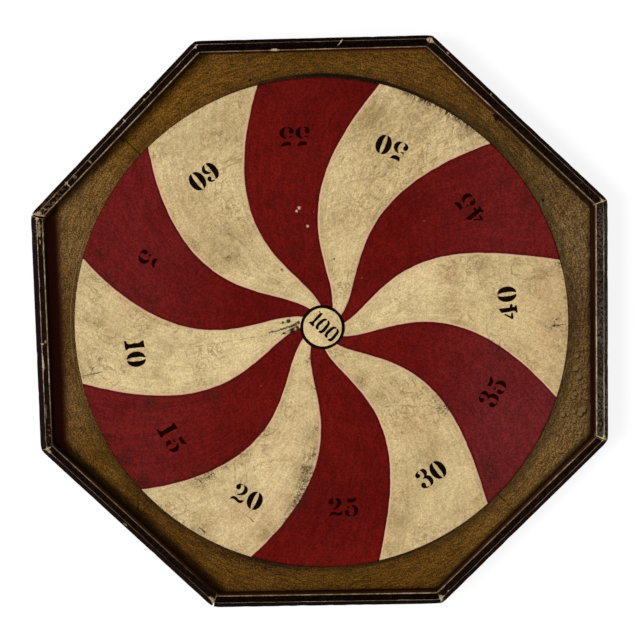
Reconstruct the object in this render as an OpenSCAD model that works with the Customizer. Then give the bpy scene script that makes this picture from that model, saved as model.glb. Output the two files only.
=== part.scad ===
// Penny pitch board: an eight-sided tray with a round wooden target as its floor.
// It lies face up. The origin is on the surface that it rests on, below its centre.

/* [Tray] */
// Width of the whole board across its flats
outer_flats = 610; // [540:1:700]
// Depth from the top of the rim down to the field round the target
tray_depth = 20; // [12:0.5:35]

/* [Rim] */
// Width of a rim strip, seen from above
rim_w = 13.5; // [10:0.5:18]
// Width of the chamfer on the outer edge of the rim's top
rim_outer_chamfer = 5.2; // [1:0.1:6]
// Width of the eased inner edge of the rim's top
rim_inner_chamfer = 0.9; // [0.4:0.1:2]

/* [Target] */
// Thickness of the two target boards
target_t = 8; // [6:0.5:14]
// Width of the eased edge round the top of the target
target_chamfer = 0.7; // [0.3:0.1:2]
// Angle of the glue joint between the two target boards
target_joint_angle = 8; // [-45:1:45]

/* [Surround] */
// Width of the field at its narrowest, from the target's opening to the rim
border_w = 26; // [15:0.5:50]
// Thickness of the four surround boards
surround_t = 6.5; // [5:0.5:10]
// Gap between the target and the surround boards
target_gap = 0.5; // [0.3:0.1:2]

/* [Back] */
// Thickness of the three back planks
plank_t = 12; // [10:0.5:20]
// Thickness of the tongues
tongue_t = 4; // [3:0.5:5]
// How far a tongue stands out of its plank
tongue_l = 6; // [4:0.5:10]
// Clearance round a tongue in its groove
tongue_clear = 0.2; // [0.1:0.05:0.5]

/* [Cleats] */
// Distance from the end of a cleat to the edge of the planks
cleat_end_gap = 9; // [2:0.5:30]
// Width of a cleat
cleat_w = 40; // [30:1:55]
// Thickness of a cleat
cleat_t = 16; // [12:0.5:25]
// Distance from the ends of the planks to the middle of a cleat
cleat_inset = 142.5; // [125:0.5:165]
// Height of the bevel at the ends of a cleat
cleat_bevel = 9; // [3:0.5:11]

/* [Rim nails] */
// How far a rim nail goes into the edge of a plank
rim_nail_bite = 17.5; // [10:0.5:28]
// Diameter of a rim nail
rim_nail_d = 1.8; // [1.4:0.1:2.6]
// Diameter of a rim nail's head
rim_nail_head_d = 3.4; // [2.8:0.1:5]
// Distance between the three nails of a rim strip
rim_nail_pitch = 85; // [60:1:95]

/* [Surround brads] */
// How far a surround brad goes into a plank
brad_bite = 7.5; // [5:0.5:9]
// Diameter of a surround brad
brad_d = 1.4; // [1:0.1:2]
// Diameter of a surround brad's head
brad_head_d = 2.6; // [2.2:0.1:4]
// Angle from the middle of a surround board to its inner two brads
brad_inner_angle = 12; // [9:1:16]
// Angle from the middle of a surround board to its outer two brads
brad_outer_angle = 38; // [34:1:41]

/* [Nail heads] */
// Thickness of the heads of the nails and brads
nail_head_t = 0.9; // [0.6:0.1:1.5]

/* [Target screws] */
// How far a target screw goes into a target board
target_screw_bite = 5; // [3:0.5:5.5]
// Distance from the edge of the target to its outer screws
target_screw_inset = 52; // [40:1:70]
// Radius of the circle of the four inner target screws
inner_screw_r = 60; // [45:1:75]

/* [Cleat screws] */
// How far a cleat screw goes into a plank
cleat_screw_bite = 9; // [6:0.5:9.5]
// Distance from a plank joint to the cleat screws on each side of it
joint_screw_inset = 38; // [20:1:45]
// Distance from the end of a cleat to its last screw
end_screw_inset = 25; // [18:1:35]

/* [Screws] */
// Diameter of the shank of the screws
screw_d = 3.5; // [3:0.1:4.5]
// Diameter of the countersunk head of the screws
screw_head_d = 7; // [6:0.1:9]
// Width of the slot in a screw's head
screw_slot_w = 1; // [0.6:0.1:1.4]
// Depth of the slot in a screw's head
screw_slot_depth = 0.9; // [0.5:0.1:1.2]

/* [Fits] */
// Clearance between a nail or screw and its hole, measured across
fastener_clear = 0.1; // [0.05:0.05:0.3]

/* [Hidden] */

$fn = 96;
sides = 8;
side_angle = 360 / sides;
board_angle = 90;
planks = 3;

// Widths from the outside in
panel_flats = outer_flats - 2 * rim_w;
plank_w = panel_flats / planks;
opening_d = panel_flats - 2 * border_w;
target_d = opening_d - 2 * target_gap;
border_r = (opening_d + panel_flats) / 4;
cleat_y = panel_flats / 2 - cleat_inset;

// Heights from the ground up
plank_z = cleat_t;
field_z = plank_z + plank_t;
surround_top_z = field_z + surround_t;
rim_top_z = surround_top_z + tray_depth;
plank_mid_z = plank_z + plank_t / 2;

// Half the length of a cleat, from the width of the planks at its outer edge
cleat_half = panel_flats / 2 * (1 + tan(side_angle / 2)) - cleat_y - cleat_w / 2 - cleat_end_gap;

// Fasteners: a point is so many shanks long, and a length runs from the top of the head
point_share = 1.5;
screw_head_t = (screw_head_d - screw_d) / 2;
rim_nail_l = rim_w + rim_nail_bite;
brad_l = surround_t + brad_bite;
target_screw_l = plank_t + target_screw_bite;
cleat_screw_l = cleat_t + cleat_screw_bite;
target_screw_r = target_d / 2 - target_screw_inset;
outer_screws = 8;
inner_screws = 4;
cleat_screw_x = [
    plank_w / 2 - joint_screw_inset,
    plank_w / 2 + joint_screw_inset,
    cleat_half - end_screw_inset
];

// Colours
black_paint = "#16110d";
mustard_paint = "#6f5222";
cream_paint = "#cdb988";
old_pine = "#9a7a50";
iron = "#3b3733";
steel = "#7d7a74";

// Eight-sided prism, flats towards +X and +Y
module octagon_prism(flats, height) {
    linear_extrude(height)
        rotate(side_angle / 2)
            circle(d = flats / cos(side_angle / 2), $fn = sides);
}

// Sector of the board's plan, centred on +Y
module sector(angle, height) {
    reach = outer_flats;
    half = reach * tan(angle / 2);
    linear_extrude(height)
        polygon([[0, 0], [half, reach], [-half, reach]]);
}

// Nail along -Z: the top of its head is at the origin
module nail(length, shank_d, head_d, head_t) {
    rotate_extrude($fn = 24)
        polygon([
            [0, 0],
            [head_d / 2, 0],
            [head_d / 2, -head_t],
            [shank_d / 2, -head_t],
            [shank_d / 2, -length + point_share * shank_d],
            [0, -length]
        ]);
}

// Hole for a nail of the same size, open at the top
module nail_hole(length, shank_d, head_d, head_t) {
    translate([0, 0, -head_t])
        cylinder(d = head_d + fastener_clear, h = head_t + 1, $fn = 24);
    translate([0, 0, -length - fastener_clear])
        cylinder(d = shank_d + fastener_clear, h = length, $fn = 24);
}

// Countersunk slotted screw along +Z: the flat of its head is at the origin
module screw(length) {
    difference() {
        rotate_extrude($fn = 32)
            polygon([
                [0, 0],
                [screw_head_d / 2, 0],
                [screw_d / 2, screw_head_t],
                [screw_d / 2, length - point_share * screw_d],
                [0, length]
            ]);
        translate([-screw_head_d, -screw_slot_w / 2, -1])
            cube([2 * screw_head_d, screw_slot_w, screw_slot_depth + 1]);
    }
}

// Hole for a screw of the same length, open at the bottom
module screw_hole(length) {
    reach = length + fastener_clear;
    rotate_extrude($fn = 32)
        polygon([
            [0, -1],
            [screw_head_d / 2, -1],
            [screw_head_d / 2, 0],
            [(screw_d + fastener_clear) / 2, screw_head_t - fastener_clear / 2],
            [(screw_d + fastener_clear) / 2, reach],
            [0, reach]
        ]);
}

// Puts its child at every rim nail, with the nail's head on the rim's outer face
module at_rim_nails() {
    for (side = [0 : sides - 1], step = [-1 : 1])
        rotate(side * side_angle)
            translate([step * rim_nail_pitch, outer_flats / 2, plank_mid_z])
                rotate([-90, 0, 0])
                    children();
}

// Puts its child at every surround brad, with the brad's head in the field's top
module at_brads() {
    for (board = [0 : 3], angle = [brad_inner_angle, brad_outer_angle], side = [-1, 1])
        rotate(board * board_angle + side * angle)
            translate([0, border_r, surround_top_z])
                children();
}

// Puts its child at every target screw, with the screw's head in the planks' underside
module at_target_screws() {
    for (k = [0 : outer_screws - 1])
        rotate((k + 0.5) * 360 / outer_screws)
            translate([target_screw_r, 0, plank_z])
                children();
    for (k = [0 : inner_screws - 1])
        rotate((k + 0.5) * 360 / inner_screws)
            translate([inner_screw_r, 0, plank_z])
                children();
}

// Puts its child at every screw of the cleat at the given height on the board
module at_cleat_screws(y) {
    for (x = cleat_screw_x, side = [-1, 1])
        translate([side * x, y, 0])
            children();
}

module rim_nail_holes() {
    at_rim_nails() nail_hole(rim_nail_l, rim_nail_d, rim_nail_head_d, nail_head_t);
}

module brad_holes() {
    at_brads() nail_hole(brad_l, brad_d, brad_head_d, nail_head_t);
}

// Section of a rim strip: x runs outwards from the centre, y is up
module rim_section() {
    inner = panel_flats / 2;
    outer = outer_flats / 2;
    polygon([
        [inner, plank_z],
        [outer, plank_z],
        [outer, rim_top_z - rim_outer_chamfer],
        [outer - rim_outer_chamfer, rim_top_z],
        [inner + rim_inner_chamfer, rim_top_z],
        [inner, rim_top_z - rim_inner_chamfer]
    ]);
}

// Rim strip number side, counted anticlockwise from the top one, mitred at both ends
module rim_strip(side) {
    color(black_paint)
        difference() {
            rotate(side * side_angle)
                intersection() {
                    rotate([90, 0, 90])
                        linear_extrude(outer_flats / 2, center = true)
                            rim_section();
                    sector(side_angle, rim_top_z + 1);
                }
            rim_nail_holes();
        }
}

// Surround board number side, counted anticlockwise from the top one
module surround_board(side) {
    color(mustard_paint)
        difference() {
            intersection() {
                translate([0, 0, field_z]) octagon_prism(panel_flats, surround_t);
                rotate(side * board_angle)
                    translate([0, 0, field_z])
                        sector(board_angle, surround_t);
            }
            translate([0, 0, field_z - 1])
                cylinder(d = opening_d, h = surround_t + 2, $fn = 180);
            brad_holes();
        }
}

// One of the two target boards: upper is 1, lower is -1
module target_board(half) {
    color(cream_paint)
        difference() {
            intersection() {
                translate([0, 0, field_z])
                    rotate_extrude($fn = 180)
                        polygon([
                            [0, 0],
                            [target_d / 2, 0],
                            [target_d / 2, target_t - target_chamfer],
                            [target_d / 2 - target_chamfer, target_t],
                            [0, target_t]
                        ]);
                rotate(target_joint_angle)
                    translate([-target_d, half > 0 ? 0 : -target_d, field_z - 1])
                        cube([2 * target_d, target_d, target_t + 2]);
            }
            at_target_screws() screw_hole(target_screw_l);
        }
}

// Tongue along the right-hand edge of a plank that ends at x, larger by the given clearance
module tongue(x, clearance) {
    height = tongue_t + 2 * clearance;
    translate([x - 1, -panel_flats, plank_mid_z - height / 2])
        cube([1 + tongue_l + clearance, 2 * panel_flats, height]);
}

// Back plank number index, counted from the left
module back_plank(index) {
    left = -panel_flats / 2 + index * plank_w;
    right = left + plank_w;
    color(old_pine)
        difference() {
            intersection() {
                translate([0, 0, plank_z]) octagon_prism(panel_flats, plank_t);
                union() {
                    translate([left, -panel_flats, plank_z - 1])
                        cube([plank_w, 2 * panel_flats, plank_t + 2]);
                    if (index < planks - 1)
                        tongue(right, 0);
                }
            }
            if (index > 0)
                tongue(left, tongue_clear);
            rim_nail_holes();
            brad_holes();
            at_target_screws() screw_hole(target_screw_l);
            at_cleat_screws(cleat_y) screw_hole(cleat_screw_l);
            at_cleat_screws(-cleat_y) screw_hole(cleat_screw_l);
        }
}

// Cleat across the planks, its middle at the given place, bevelled below at both ends
module cleat(y) {
    color(old_pine)
        difference() {
            translate([0, y, 0])
                rotate([90, 0, 0])
                    linear_extrude(cleat_w, center = true)
                        polygon([
                            [-cleat_half, cleat_t],
                            [-cleat_half, cleat_bevel],
                            [-cleat_half + cleat_bevel, 0],
                            [cleat_half - cleat_bevel, 0],
                            [cleat_half, cleat_bevel],
                            [cleat_half, cleat_t]
                        ]);
            at_cleat_screws(y) screw_hole(cleat_screw_l);
        }
}

module rim_nails() {
    color(iron) at_rim_nails() nail(rim_nail_l, rim_nail_d, rim_nail_head_d, nail_head_t);
}

module surround_brads() {
    color(iron) at_brads() nail(brad_l, brad_d, brad_head_d, nail_head_t);
}

module target_screws() {
    color(steel) at_target_screws() screw(target_screw_l);
}

module cleat_screws() {
    color(steel) {
        at_cleat_screws(cleat_y) screw(cleat_screw_l);
        at_cleat_screws(-cleat_y) screw(cleat_screw_l);
    }
}

rim_strip(0);  // rim_top
rim_strip(1);  // rim_top_left
rim_strip(2);  // rim_left
rim_strip(3);  // rim_bottom_left
rim_strip(4);  // rim_bottom
rim_strip(5);  // rim_bottom_right
rim_strip(6);  // rim_right
rim_strip(7);  // rim_top_right
surround_board(0);  // surround_top
surround_board(1);  // surround_left
surround_board(2);  // surround_bottom
surround_board(3);  // surround_right
target_board(1);  // target_board_upper
target_board(-1);  // target_board_lower
back_plank(0);  // back_plank_left
back_plank(1);  // back_plank_middle
back_plank(2);  // back_plank_right
cleat(cleat_y);  // cleat_upper
cleat(-cleat_y);  // cleat_lower
rim_nails();
surround_brads();
target_screws();
cleat_screws();
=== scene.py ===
import math

import bmesh
import bpy
from mathutils import Matrix, Vector, geometry, noise


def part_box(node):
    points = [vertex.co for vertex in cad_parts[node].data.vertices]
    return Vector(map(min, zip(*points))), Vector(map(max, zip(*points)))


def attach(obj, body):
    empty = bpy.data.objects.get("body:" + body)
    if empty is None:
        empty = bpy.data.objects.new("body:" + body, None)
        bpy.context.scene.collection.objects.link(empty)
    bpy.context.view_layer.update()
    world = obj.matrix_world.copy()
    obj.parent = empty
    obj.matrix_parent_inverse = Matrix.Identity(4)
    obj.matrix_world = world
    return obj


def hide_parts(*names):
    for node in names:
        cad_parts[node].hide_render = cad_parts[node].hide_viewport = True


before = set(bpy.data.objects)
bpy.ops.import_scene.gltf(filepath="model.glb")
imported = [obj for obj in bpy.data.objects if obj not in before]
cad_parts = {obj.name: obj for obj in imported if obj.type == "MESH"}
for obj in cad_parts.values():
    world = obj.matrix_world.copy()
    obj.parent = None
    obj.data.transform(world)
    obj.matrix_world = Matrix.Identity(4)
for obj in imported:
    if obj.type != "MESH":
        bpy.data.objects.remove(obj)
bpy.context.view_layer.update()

MM = 0.001
UP = Vector((0, 0, 1))
# Points nearer than this are joined
WELD = 0.001 * MM

# Sizes of the board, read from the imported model
rim_low, rim_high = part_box("rim_top")
target_low, target_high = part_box("target_board_upper")
rim_outer = rim_high.y
rim_inner = rim_low.y
rim_top = rim_high.z
rim_foot = rim_low.z
rim_width = rim_outer - rim_inner
field_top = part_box("surround_top")[1].z
target_top = target_high.z
target_foot = target_low.z
target_radius = target_high.y
# Length of one outer side of the board
rim_side = 2 * rim_outer * math.tan(math.radians(22.5))

# The target is glued up from two boards, along a line that leans by this many degrees
joint_angle = 8

# The painter's centre is a little off the middle of the board
paint_centre = Vector((1.69 * MM, -1.09 * MM, 0))

# The edge between two blades, from the hub outwards, as a curve with four control points
BLADES = 12
blade_curve = [Vector(p) * MM for p in ((22, -5), (69.5, 2), (114, 84.3), (264.24, -5.7))]
first_edge = math.radians(14.3)
# How far each edge strays by hand from its even place, in degrees: all along it, at the hub, and half way out
edge_strays = (1.5, 3.2, 2.2, 0.4, -0.5, -0.2, -0.6, -1.8, -1.1, -0.4, -1.2, -1.1)
hub_strays = (7.9, -4.9, -3.3, 0.6, 0.3, -2.9, -3.2, -2.3, -5.3, 3.8, 9.6, 3.6)
middle_strays = (-2.2, -0.5, -1.0, 0.9, 1.8, 1.0, -0.2, 2.0, 0.3, -1.4, -1.4, 0.8)


def srgb(red, green, blue):
    """A colour in 0 to 255 screen values, as the shader's linear values."""
    def linear(value):
        value /= 255
        return value / 12.92 if value <= 0.04045 else ((value + 0.055) / 1.055) ** 2.4
    return (linear(red), linear(green), linear(blue), 1)


class Nodes:
    """A node tree being built. Its methods add nodes and give back the output to use next."""

    def __init__(self, owner):
        owner.use_nodes = True
        self.tree = owner.node_tree

    def feed(self, socket, value):
        if isinstance(value, bpy.types.NodeSocket):
            self.tree.links.new(value, socket)
        else:
            socket.default_value = value

    def add(self, kind, **settings):
        node = self.tree.nodes.new("ShaderNode" + kind)
        for key, value in settings.items():
            setattr(node, key, value)
        return node

    def math(self, how, a, b=0.0):
        node = self.add("Math", operation=how)
        for socket, value in zip(node.inputs, (a, b)):
            self.feed(socket, value)
        return node.outputs[0]

    def times(self, *values):
        result = values[0]
        for value in values[1:]:
            result = self.math("MULTIPLY", result, value)
        return result

    def plus(self, a, b):
        return self.math("ADD", a, b)

    def minus(self, a, b):
        return self.math("SUBTRACT", a, b)

    def unsigned(self, a):
        return self.math("ABSOLUTE", a)

    def length(self, a, b):
        return self.math("SQRT", self.plus(self.times(a, a), self.times(b, b)))

    def highest(self, *values):
        result = values[0]
        for value in values[1:]:
            result = self.math("MAXIMUM", result, value)
        return result

    def rise(self, value, low, high, top=1.0, foot=0.0):
        """Smoothly from foot to top as the value goes from low to high."""
        node = self.add("MapRange", interpolation_type="SMOOTHSTEP")
        for socket, part in zip(node.inputs, (value, low, high, foot, top)):
            self.feed(socket, part)
        return node.outputs[0]

    def fall(self, value, low, high, top=1.0):
        """Smoothly from top to nothing as the value goes from low to high."""
        return self.rise(value, low, high, 0.0, top)

    def split(self, vector):
        node = self.add("SeparateXYZ")
        self.feed(node.inputs[0], vector)
        return node.outputs

    def ramp(self, factor, levels):
        """A value that runs through evenly spaced levels as the factor goes from 0 to 1."""
        node = self.add("ValToRGB")
        self.feed(node.inputs[0], factor)
        stops = node.color_ramp.elements
        for k in range(1, len(levels) - 1):
            stops.new(k / (len(levels) - 1))
        for stop, level in zip(stops, levels):
            stop.color = (level, level, level, 1)
        return node.outputs[0]

    def mix(self, factor, a, b, how="MIX"):
        node = self.add("Mix", data_type="RGBA", blend_type=how)
        for index, value in ((0, factor), (6, a), (7, b)):
            self.feed(node.inputs[index], value)
        return node.outputs[2]


class Finish(Nodes):
    """A material being mixed, with its colour and its bumps so far."""

    def __init__(self, name):
        self.material = bpy.data.materials.new(name)
        super().__init__(self.material)
        self.shader = self.tree.nodes["Principled BSDF"]
        self.colour = None
        self.normal = None
        self.place = self.add("TexCoord").outputs["Object"]
        self.x, self.y, self.z = self.split(self.place)
        self.radius = self.length(self.x, self.y)

    def mapped(self, scale=(1, 1, 1), move=(0, 0, 0)):
        node = self.add("Mapping")
        self.feed(node.inputs["Vector"], self.place)
        node.inputs["Location"].default_value = move
        node.inputs["Scale"].default_value = scale
        return node.outputs[0]

    def noise(self, scale, detail=4, rough=0.55, at=None, bend=0.0, move=None):
        if move:
            at = self.mapped(move=move)
        node = self.add("TexNoise")
        self.feed(node.inputs["Vector"], at or self.place)
        for name, value in (("Scale", scale), ("Detail", detail), ("Roughness", rough), ("Distortion", bend)):
            node.inputs[name].default_value = value
        return node.outputs["Fac"]

    def attribute(self, name, out="Fac"):
        return self.add("Attribute", attribute_name=name).outputs[out]

    def coat(self, share, shade):
        """Lays a shade over the colour so far."""
        self.colour = self.mix(share, self.colour, srgb(*shade))

    def tone(self, colour, factor, dark, light, low=0.3, high=0.7):
        """The colour, made darker or lighter as the factor goes from low to high."""
        level = self.rise(factor, low, high, light, dark)
        grey = self.add("CombineColor")
        for socket in grey.inputs:
            self.feed(socket, level)
        return self.mix(1.0, colour, grey.outputs[0], "MULTIPLY")

    def shade(self, *how):
        """Makes the colour so far darker or lighter, as tone does."""
        self.colour = self.tone(self.colour, *how)

    def bump(self, height, depth, strength=1.0):
        """Raises the surface over the bumps so far."""
        node = self.add("Bump")
        self.feed(node.inputs["Height"], height)
        node.inputs["Distance"].default_value = depth
        node.inputs["Strength"].default_value = strength
        if self.normal is not None:
            self.feed(node.inputs["Normal"], self.normal)
        self.normal = node.outputs[0]

    def done(self, rough, specular=0.03, metal=0.0):
        self.feed(self.shader.inputs["Base Color"], self.colour)
        self.feed(self.shader.inputs["Roughness"], rough)
        self.shader.inputs["Specular IOR Level"].default_value = specular
        self.shader.inputs["Metallic"].default_value = metal
        if self.normal is not None:
            self.feed(self.shader.inputs["Normal"], self.normal)
        return self.material


def turned(degrees, size=3):
    """The turn about the board's middle axis, anticlockwise as seen from the front."""
    return Matrix.Rotation(math.radians(degrees), size, "Z")


def towards(f, degrees):
    """How far a place lies from the board's middle in one direction."""
    turn = math.radians(degrees)
    return f.plus(f.times(f.x, math.cos(turn)), f.times(f.y, math.sin(turn)))


def spot(f, centre, size, soft=0.4):
    """A mark with a rough edge at a place on the board, in mm."""
    away = f.length(f.minus(f.x, centre[0] * MM), f.minus(f.y, centre[1] * MM))
    ragged = f.plus(away, f.times(f.minus(f.noise(700, 2), 0.5), size * 1.6 * MM))
    return f.fall(ragged, size * (1 - soft) * MM, size * (1 + soft) * MM)


def scratch(f, start, end, width):
    """A ragged line between two places on the board, in mm, thinner towards its start."""
    along = Vector(end) - Vector(start)
    length = along.length * MM
    line = f.add("Mapping", vector_type="TEXTURE")
    f.feed(line.inputs["Vector"], f.place)
    line.inputs["Location"].default_value = (start[0] * MM, start[1] * MM, 0)
    line.inputs["Rotation"].default_value = (0, 0, math.atan2(along.y, along.x))
    u, v, _ = f.split(line.outputs[0])
    ragged = f.times(f.minus(f.noise(350, 3, 0.7), 0.5), width * 2.2 * MM)
    off = f.unsigned(f.plus(v, ragged))
    half = f.rise(u, 0, length, 0.55 * width * MM, 0.2 * width * MM)
    ends = f.times(f.rise(u, 0, 1 * MM), f.fall(u, length, length + 1 * MM))
    return f.times(f.fall(off, f.times(half, 0.6), f.times(half, 1.6)), ends)


def polar(f, ring, outwards):
    """The place as seen from the hub: how far round, on a ring of some radius, and how far out, stretched."""
    place = f.add("CombineXYZ")
    round_and_out = (
        f.times(f.math("DIVIDE", f.x, f.radius), ring),
        f.times(f.math("DIVIDE", f.y, f.radius), ring),
        f.times(f.radius, outwards),
    )
    for socket, value in zip(place.inputs, round_and_out):
        f.feed(socket, value)
    return place.outputs[0]


def facing(f, angle, half, soft=6):
    """1 in the sector about an angle seen from the hub, in degrees, and 0 well outside it."""
    wide, narrow = math.cos(math.radians(half + soft)), math.cos(math.radians(max(0, half - soft)))
    return f.rise(f.math("DIVIDE", towards(f, angle), f.radius), wide, narrow)


def ridges(f, scale, across, rough=0.6, bend=1.0, along=(1, 1, 1), seed=0):
    """How light the paint looks on its small ridges: about a half, more on their sides towards the light."""
    here = f.noise(scale, 4, rough, f.mapped(along, (seed, 0, 0)), bend)
    beside = f.noise(scale, 4, rough, f.mapped(along, (seed + across, -across * 0.6, 0)), bend)
    return f.plus(f.minus(beside, here), 0.5)


def wrinkles(f, scale, move, width):
    """Fine wandering lines, in some places only."""
    drawn = f.noise(scale, 4, 0.6, bend=1.0, move=move)
    off_line = f.unsigned(f.minus(drawn, 0.5))
    line = f.fall(off_line, 0.3 * width * scale * MM, width * scale * MM)
    return f.times(line, f.rise(f.noise(14, 4, 0.6, move=move), 0.5, 0.62))


def cream_colour(f, stain=0.0, strokes=None):
    """Old cream paint: yellowed, mottled and stained, with painted light and shade on its creases."""
    broad = f.rise(f.noise(6, 5, 0.6), 0.36, 0.64)
    f.colour = f.mix(broad, srgb(221, 197, 147), srgb(205, 179, 130))
    mottle = f.rise(f.noise(38, 8, 0.72, bend=0.5, move=(3, 1, 0)), 0.46, 0.74, 0.5)
    f.coat(mottle, (164, 136, 88))
    smudge = f.rise(f.noise(13, 9, 0.7, bend=0.6, move=(8, 3, 0)), 0.5, 0.72, 0.45)
    f.coat(smudge, (158, 130, 82))
    rosy = f.rise(f.noise(8, 4, 0.6, move=(0, 7, 0)), 0.5, 0.72, 0.45)
    f.coat(rosy, (196, 158, 116))
    patchy = f.rise(f.noise(70, 6, 0.7), 0.3, 0.62)
    f.coat(f.times(stain, f.plus(f.times(patchy, 0.75), 0.25)), (128, 98, 58))
    lines = f.highest(wrinkles(f, 34, (2, 6, 0), 0.7), wrinkles(f, 70, (7, 1, 0), 0.45))
    f.coat(f.times(lines, 0.5), (120, 92, 54))
    # Painted light and shade on the creases, mostly at the upper right: lighter on their sides towards the
    # lamp, darker on the others
    crease_light_and_shade = f.tone(f.colour, ridges(f, 75, 0.9 * MM), 1.14, 0.83, 0.44, 0.56)
    creased = f.times(f.rise(f.y, 50 * MM, 150 * MM, 1.0, 0.3), f.rise(f.x, -40 * MM, 40 * MM, 1.0, 0.5))
    f.colour = f.mix(creased, f.colour, crease_light_and_shade)
    if strokes is not None:
        f.shade(strokes, 1.1, 0.9)
    f.shade(f.noise(170, 4, 0.7), 1.04, 0.96)
    f.shade(f.noise(680, 1, 0.5), 1.15, 0.86, 0.36, 0.64)
    return f.colour


def red_colour(f, strokes):
    """Dark red paint, with a painted sheen that makes it paler and cooler towards the sides, and streaked by
    the brush.
    """
    broad = f.rise(f.noise(7, 5, 0.6, move=(5, 0, 0)), 0.35, 0.65)
    f.colour = f.mix(broad, srgb(103, 16, 11), srgb(90, 11, 8))
    # Painted sheen: the red paler and cooler towards both sides, pinker at the lower right
    side = f.rise(f.unsigned(f.x), 70 * MM, 200 * MM, 0.85)
    low_right = f.times(f.rise(f.x, 80 * MM, 160 * MM), f.fall(f.y, -80 * MM, 20 * MM))
    f.colour = f.mix(side, f.colour, f.mix(low_right, srgb(104, 26, 25), srgb(105, 33, 34)))
    clouds = f.rise(f.noise(13, 4, 0.6, move=(2, 8, 0)), 0.5, 0.68, 0.3)
    f.coat(clouds, (78, 11, 10))
    f.shade(strokes, 1.13, 0.86)
    weave = f.noise(230, 3, 0.6, f.mapped((1, 0.3, 1)))
    f.shade(weave, 1.1, 0.88)
    f.shade(f.noise(600, 1, 0.5), 1.24, 0.76, 0.36, 0.64)
    scuff = f.rise(f.noise(6, 6, 0.7, move=(9, 2, 0)), 0.54, 0.7, 0.5)
    f.coat(f.times(scuff, f.rise(f.noise(200, 4, 0.7), 0.4, 0.62)), (66, 10, 12))
    return f.colour


# Marks in the target's paint, in mm: place, size and colour
pale_chip = (214, 160, 142)
faint_chip = (150, 62, 48)
black_mark = (26, 20, 14)
brown_mark = (96, 74, 44)
target_spots = (
    ((-20.5, 127.4), 1.7, pale_chip), ((-23.2, 124.2), 1.2, pale_chip), ((-11.9, 108.0), 1.4, pale_chip),
    ((-5.1, 122.8), 0.7, faint_chip), ((112.2, 110.7), 0.8, faint_chip), ((45.1, 51.2), 0.8, faint_chip),
    ((-66.1, -63.4), 0.8, faint_chip), ((15.6, 72.2), 1.3, brown_mark), ((-40.8, 62.1), 1.1, brown_mark),
    ((-7.9, -67.8), 1.1, brown_mark), ((-35.1, 6.4), 2.0, black_mark), ((-41.1, 5.2), 1.2, black_mark),
    ((-31.3, -3.4), 2.1, black_mark), ((-25.3, -1.0), 1.5, black_mark), ((-40.5, -6.5), 1.0, black_mark),
    ((-24.0, 4.2), 1.5, black_mark), ((249.8, -4.2), 1.5, black_mark), ((252.4, 2.4), 1.2, brown_mark),
)
# Short dark ticks across the cream's outer ends: angle and half width in degrees, strength
edge_ticks = ((60, 8, 0.95), (5, 12, 0.6), (188, 9, 0.3), (236, 10, 0.6), (118, 12, 0.35), (303, 8, 0.4))
# Scratches in the target's paint, in mm: from, to and width
target_scratches = (
    ((-57.0, -6.2), (-26.0, 2.6), 2.6), ((-37.5, 0.4), (-29.5, 1.2), 1.0),
    ((-45.0, 3.5), (-39.6, 4.9), 1.2), ((-39.0, 4.2), (-33.0, 6.7), 1.7),
    ((-36.5, -4.2), (-28.8, -2.0), 2.1), ((-34.8, -5.8), (-29.6, -4.2), 1.5),
    ((-30.8, -1.8), (-24.3, 0.1), 1.5), ((-43.5, -8.4), (-38.5, -6.1), 1.3),
    ((-28.6, 3.2), (-23.3, 5.8), 1.4), ((-86.0, -205.5), (-78.0, -212.5), 0.9),
    ((-138.5, -217.5), (-131.5, -223.5), 1.6), ((263.4, -2.7), (252.6, -4.3), 1.2),
    ((-264.0, -50.0), (-238.3, -44.6), 1.0), ((-250.0, -46.8), (-246.5, -39.5), 0.8),
    ((-39.8, -7.4), (-22.5, -3.4), 0.8), ((252.3, 63.4), (257.6, 61.8), 1.3),
)
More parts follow.
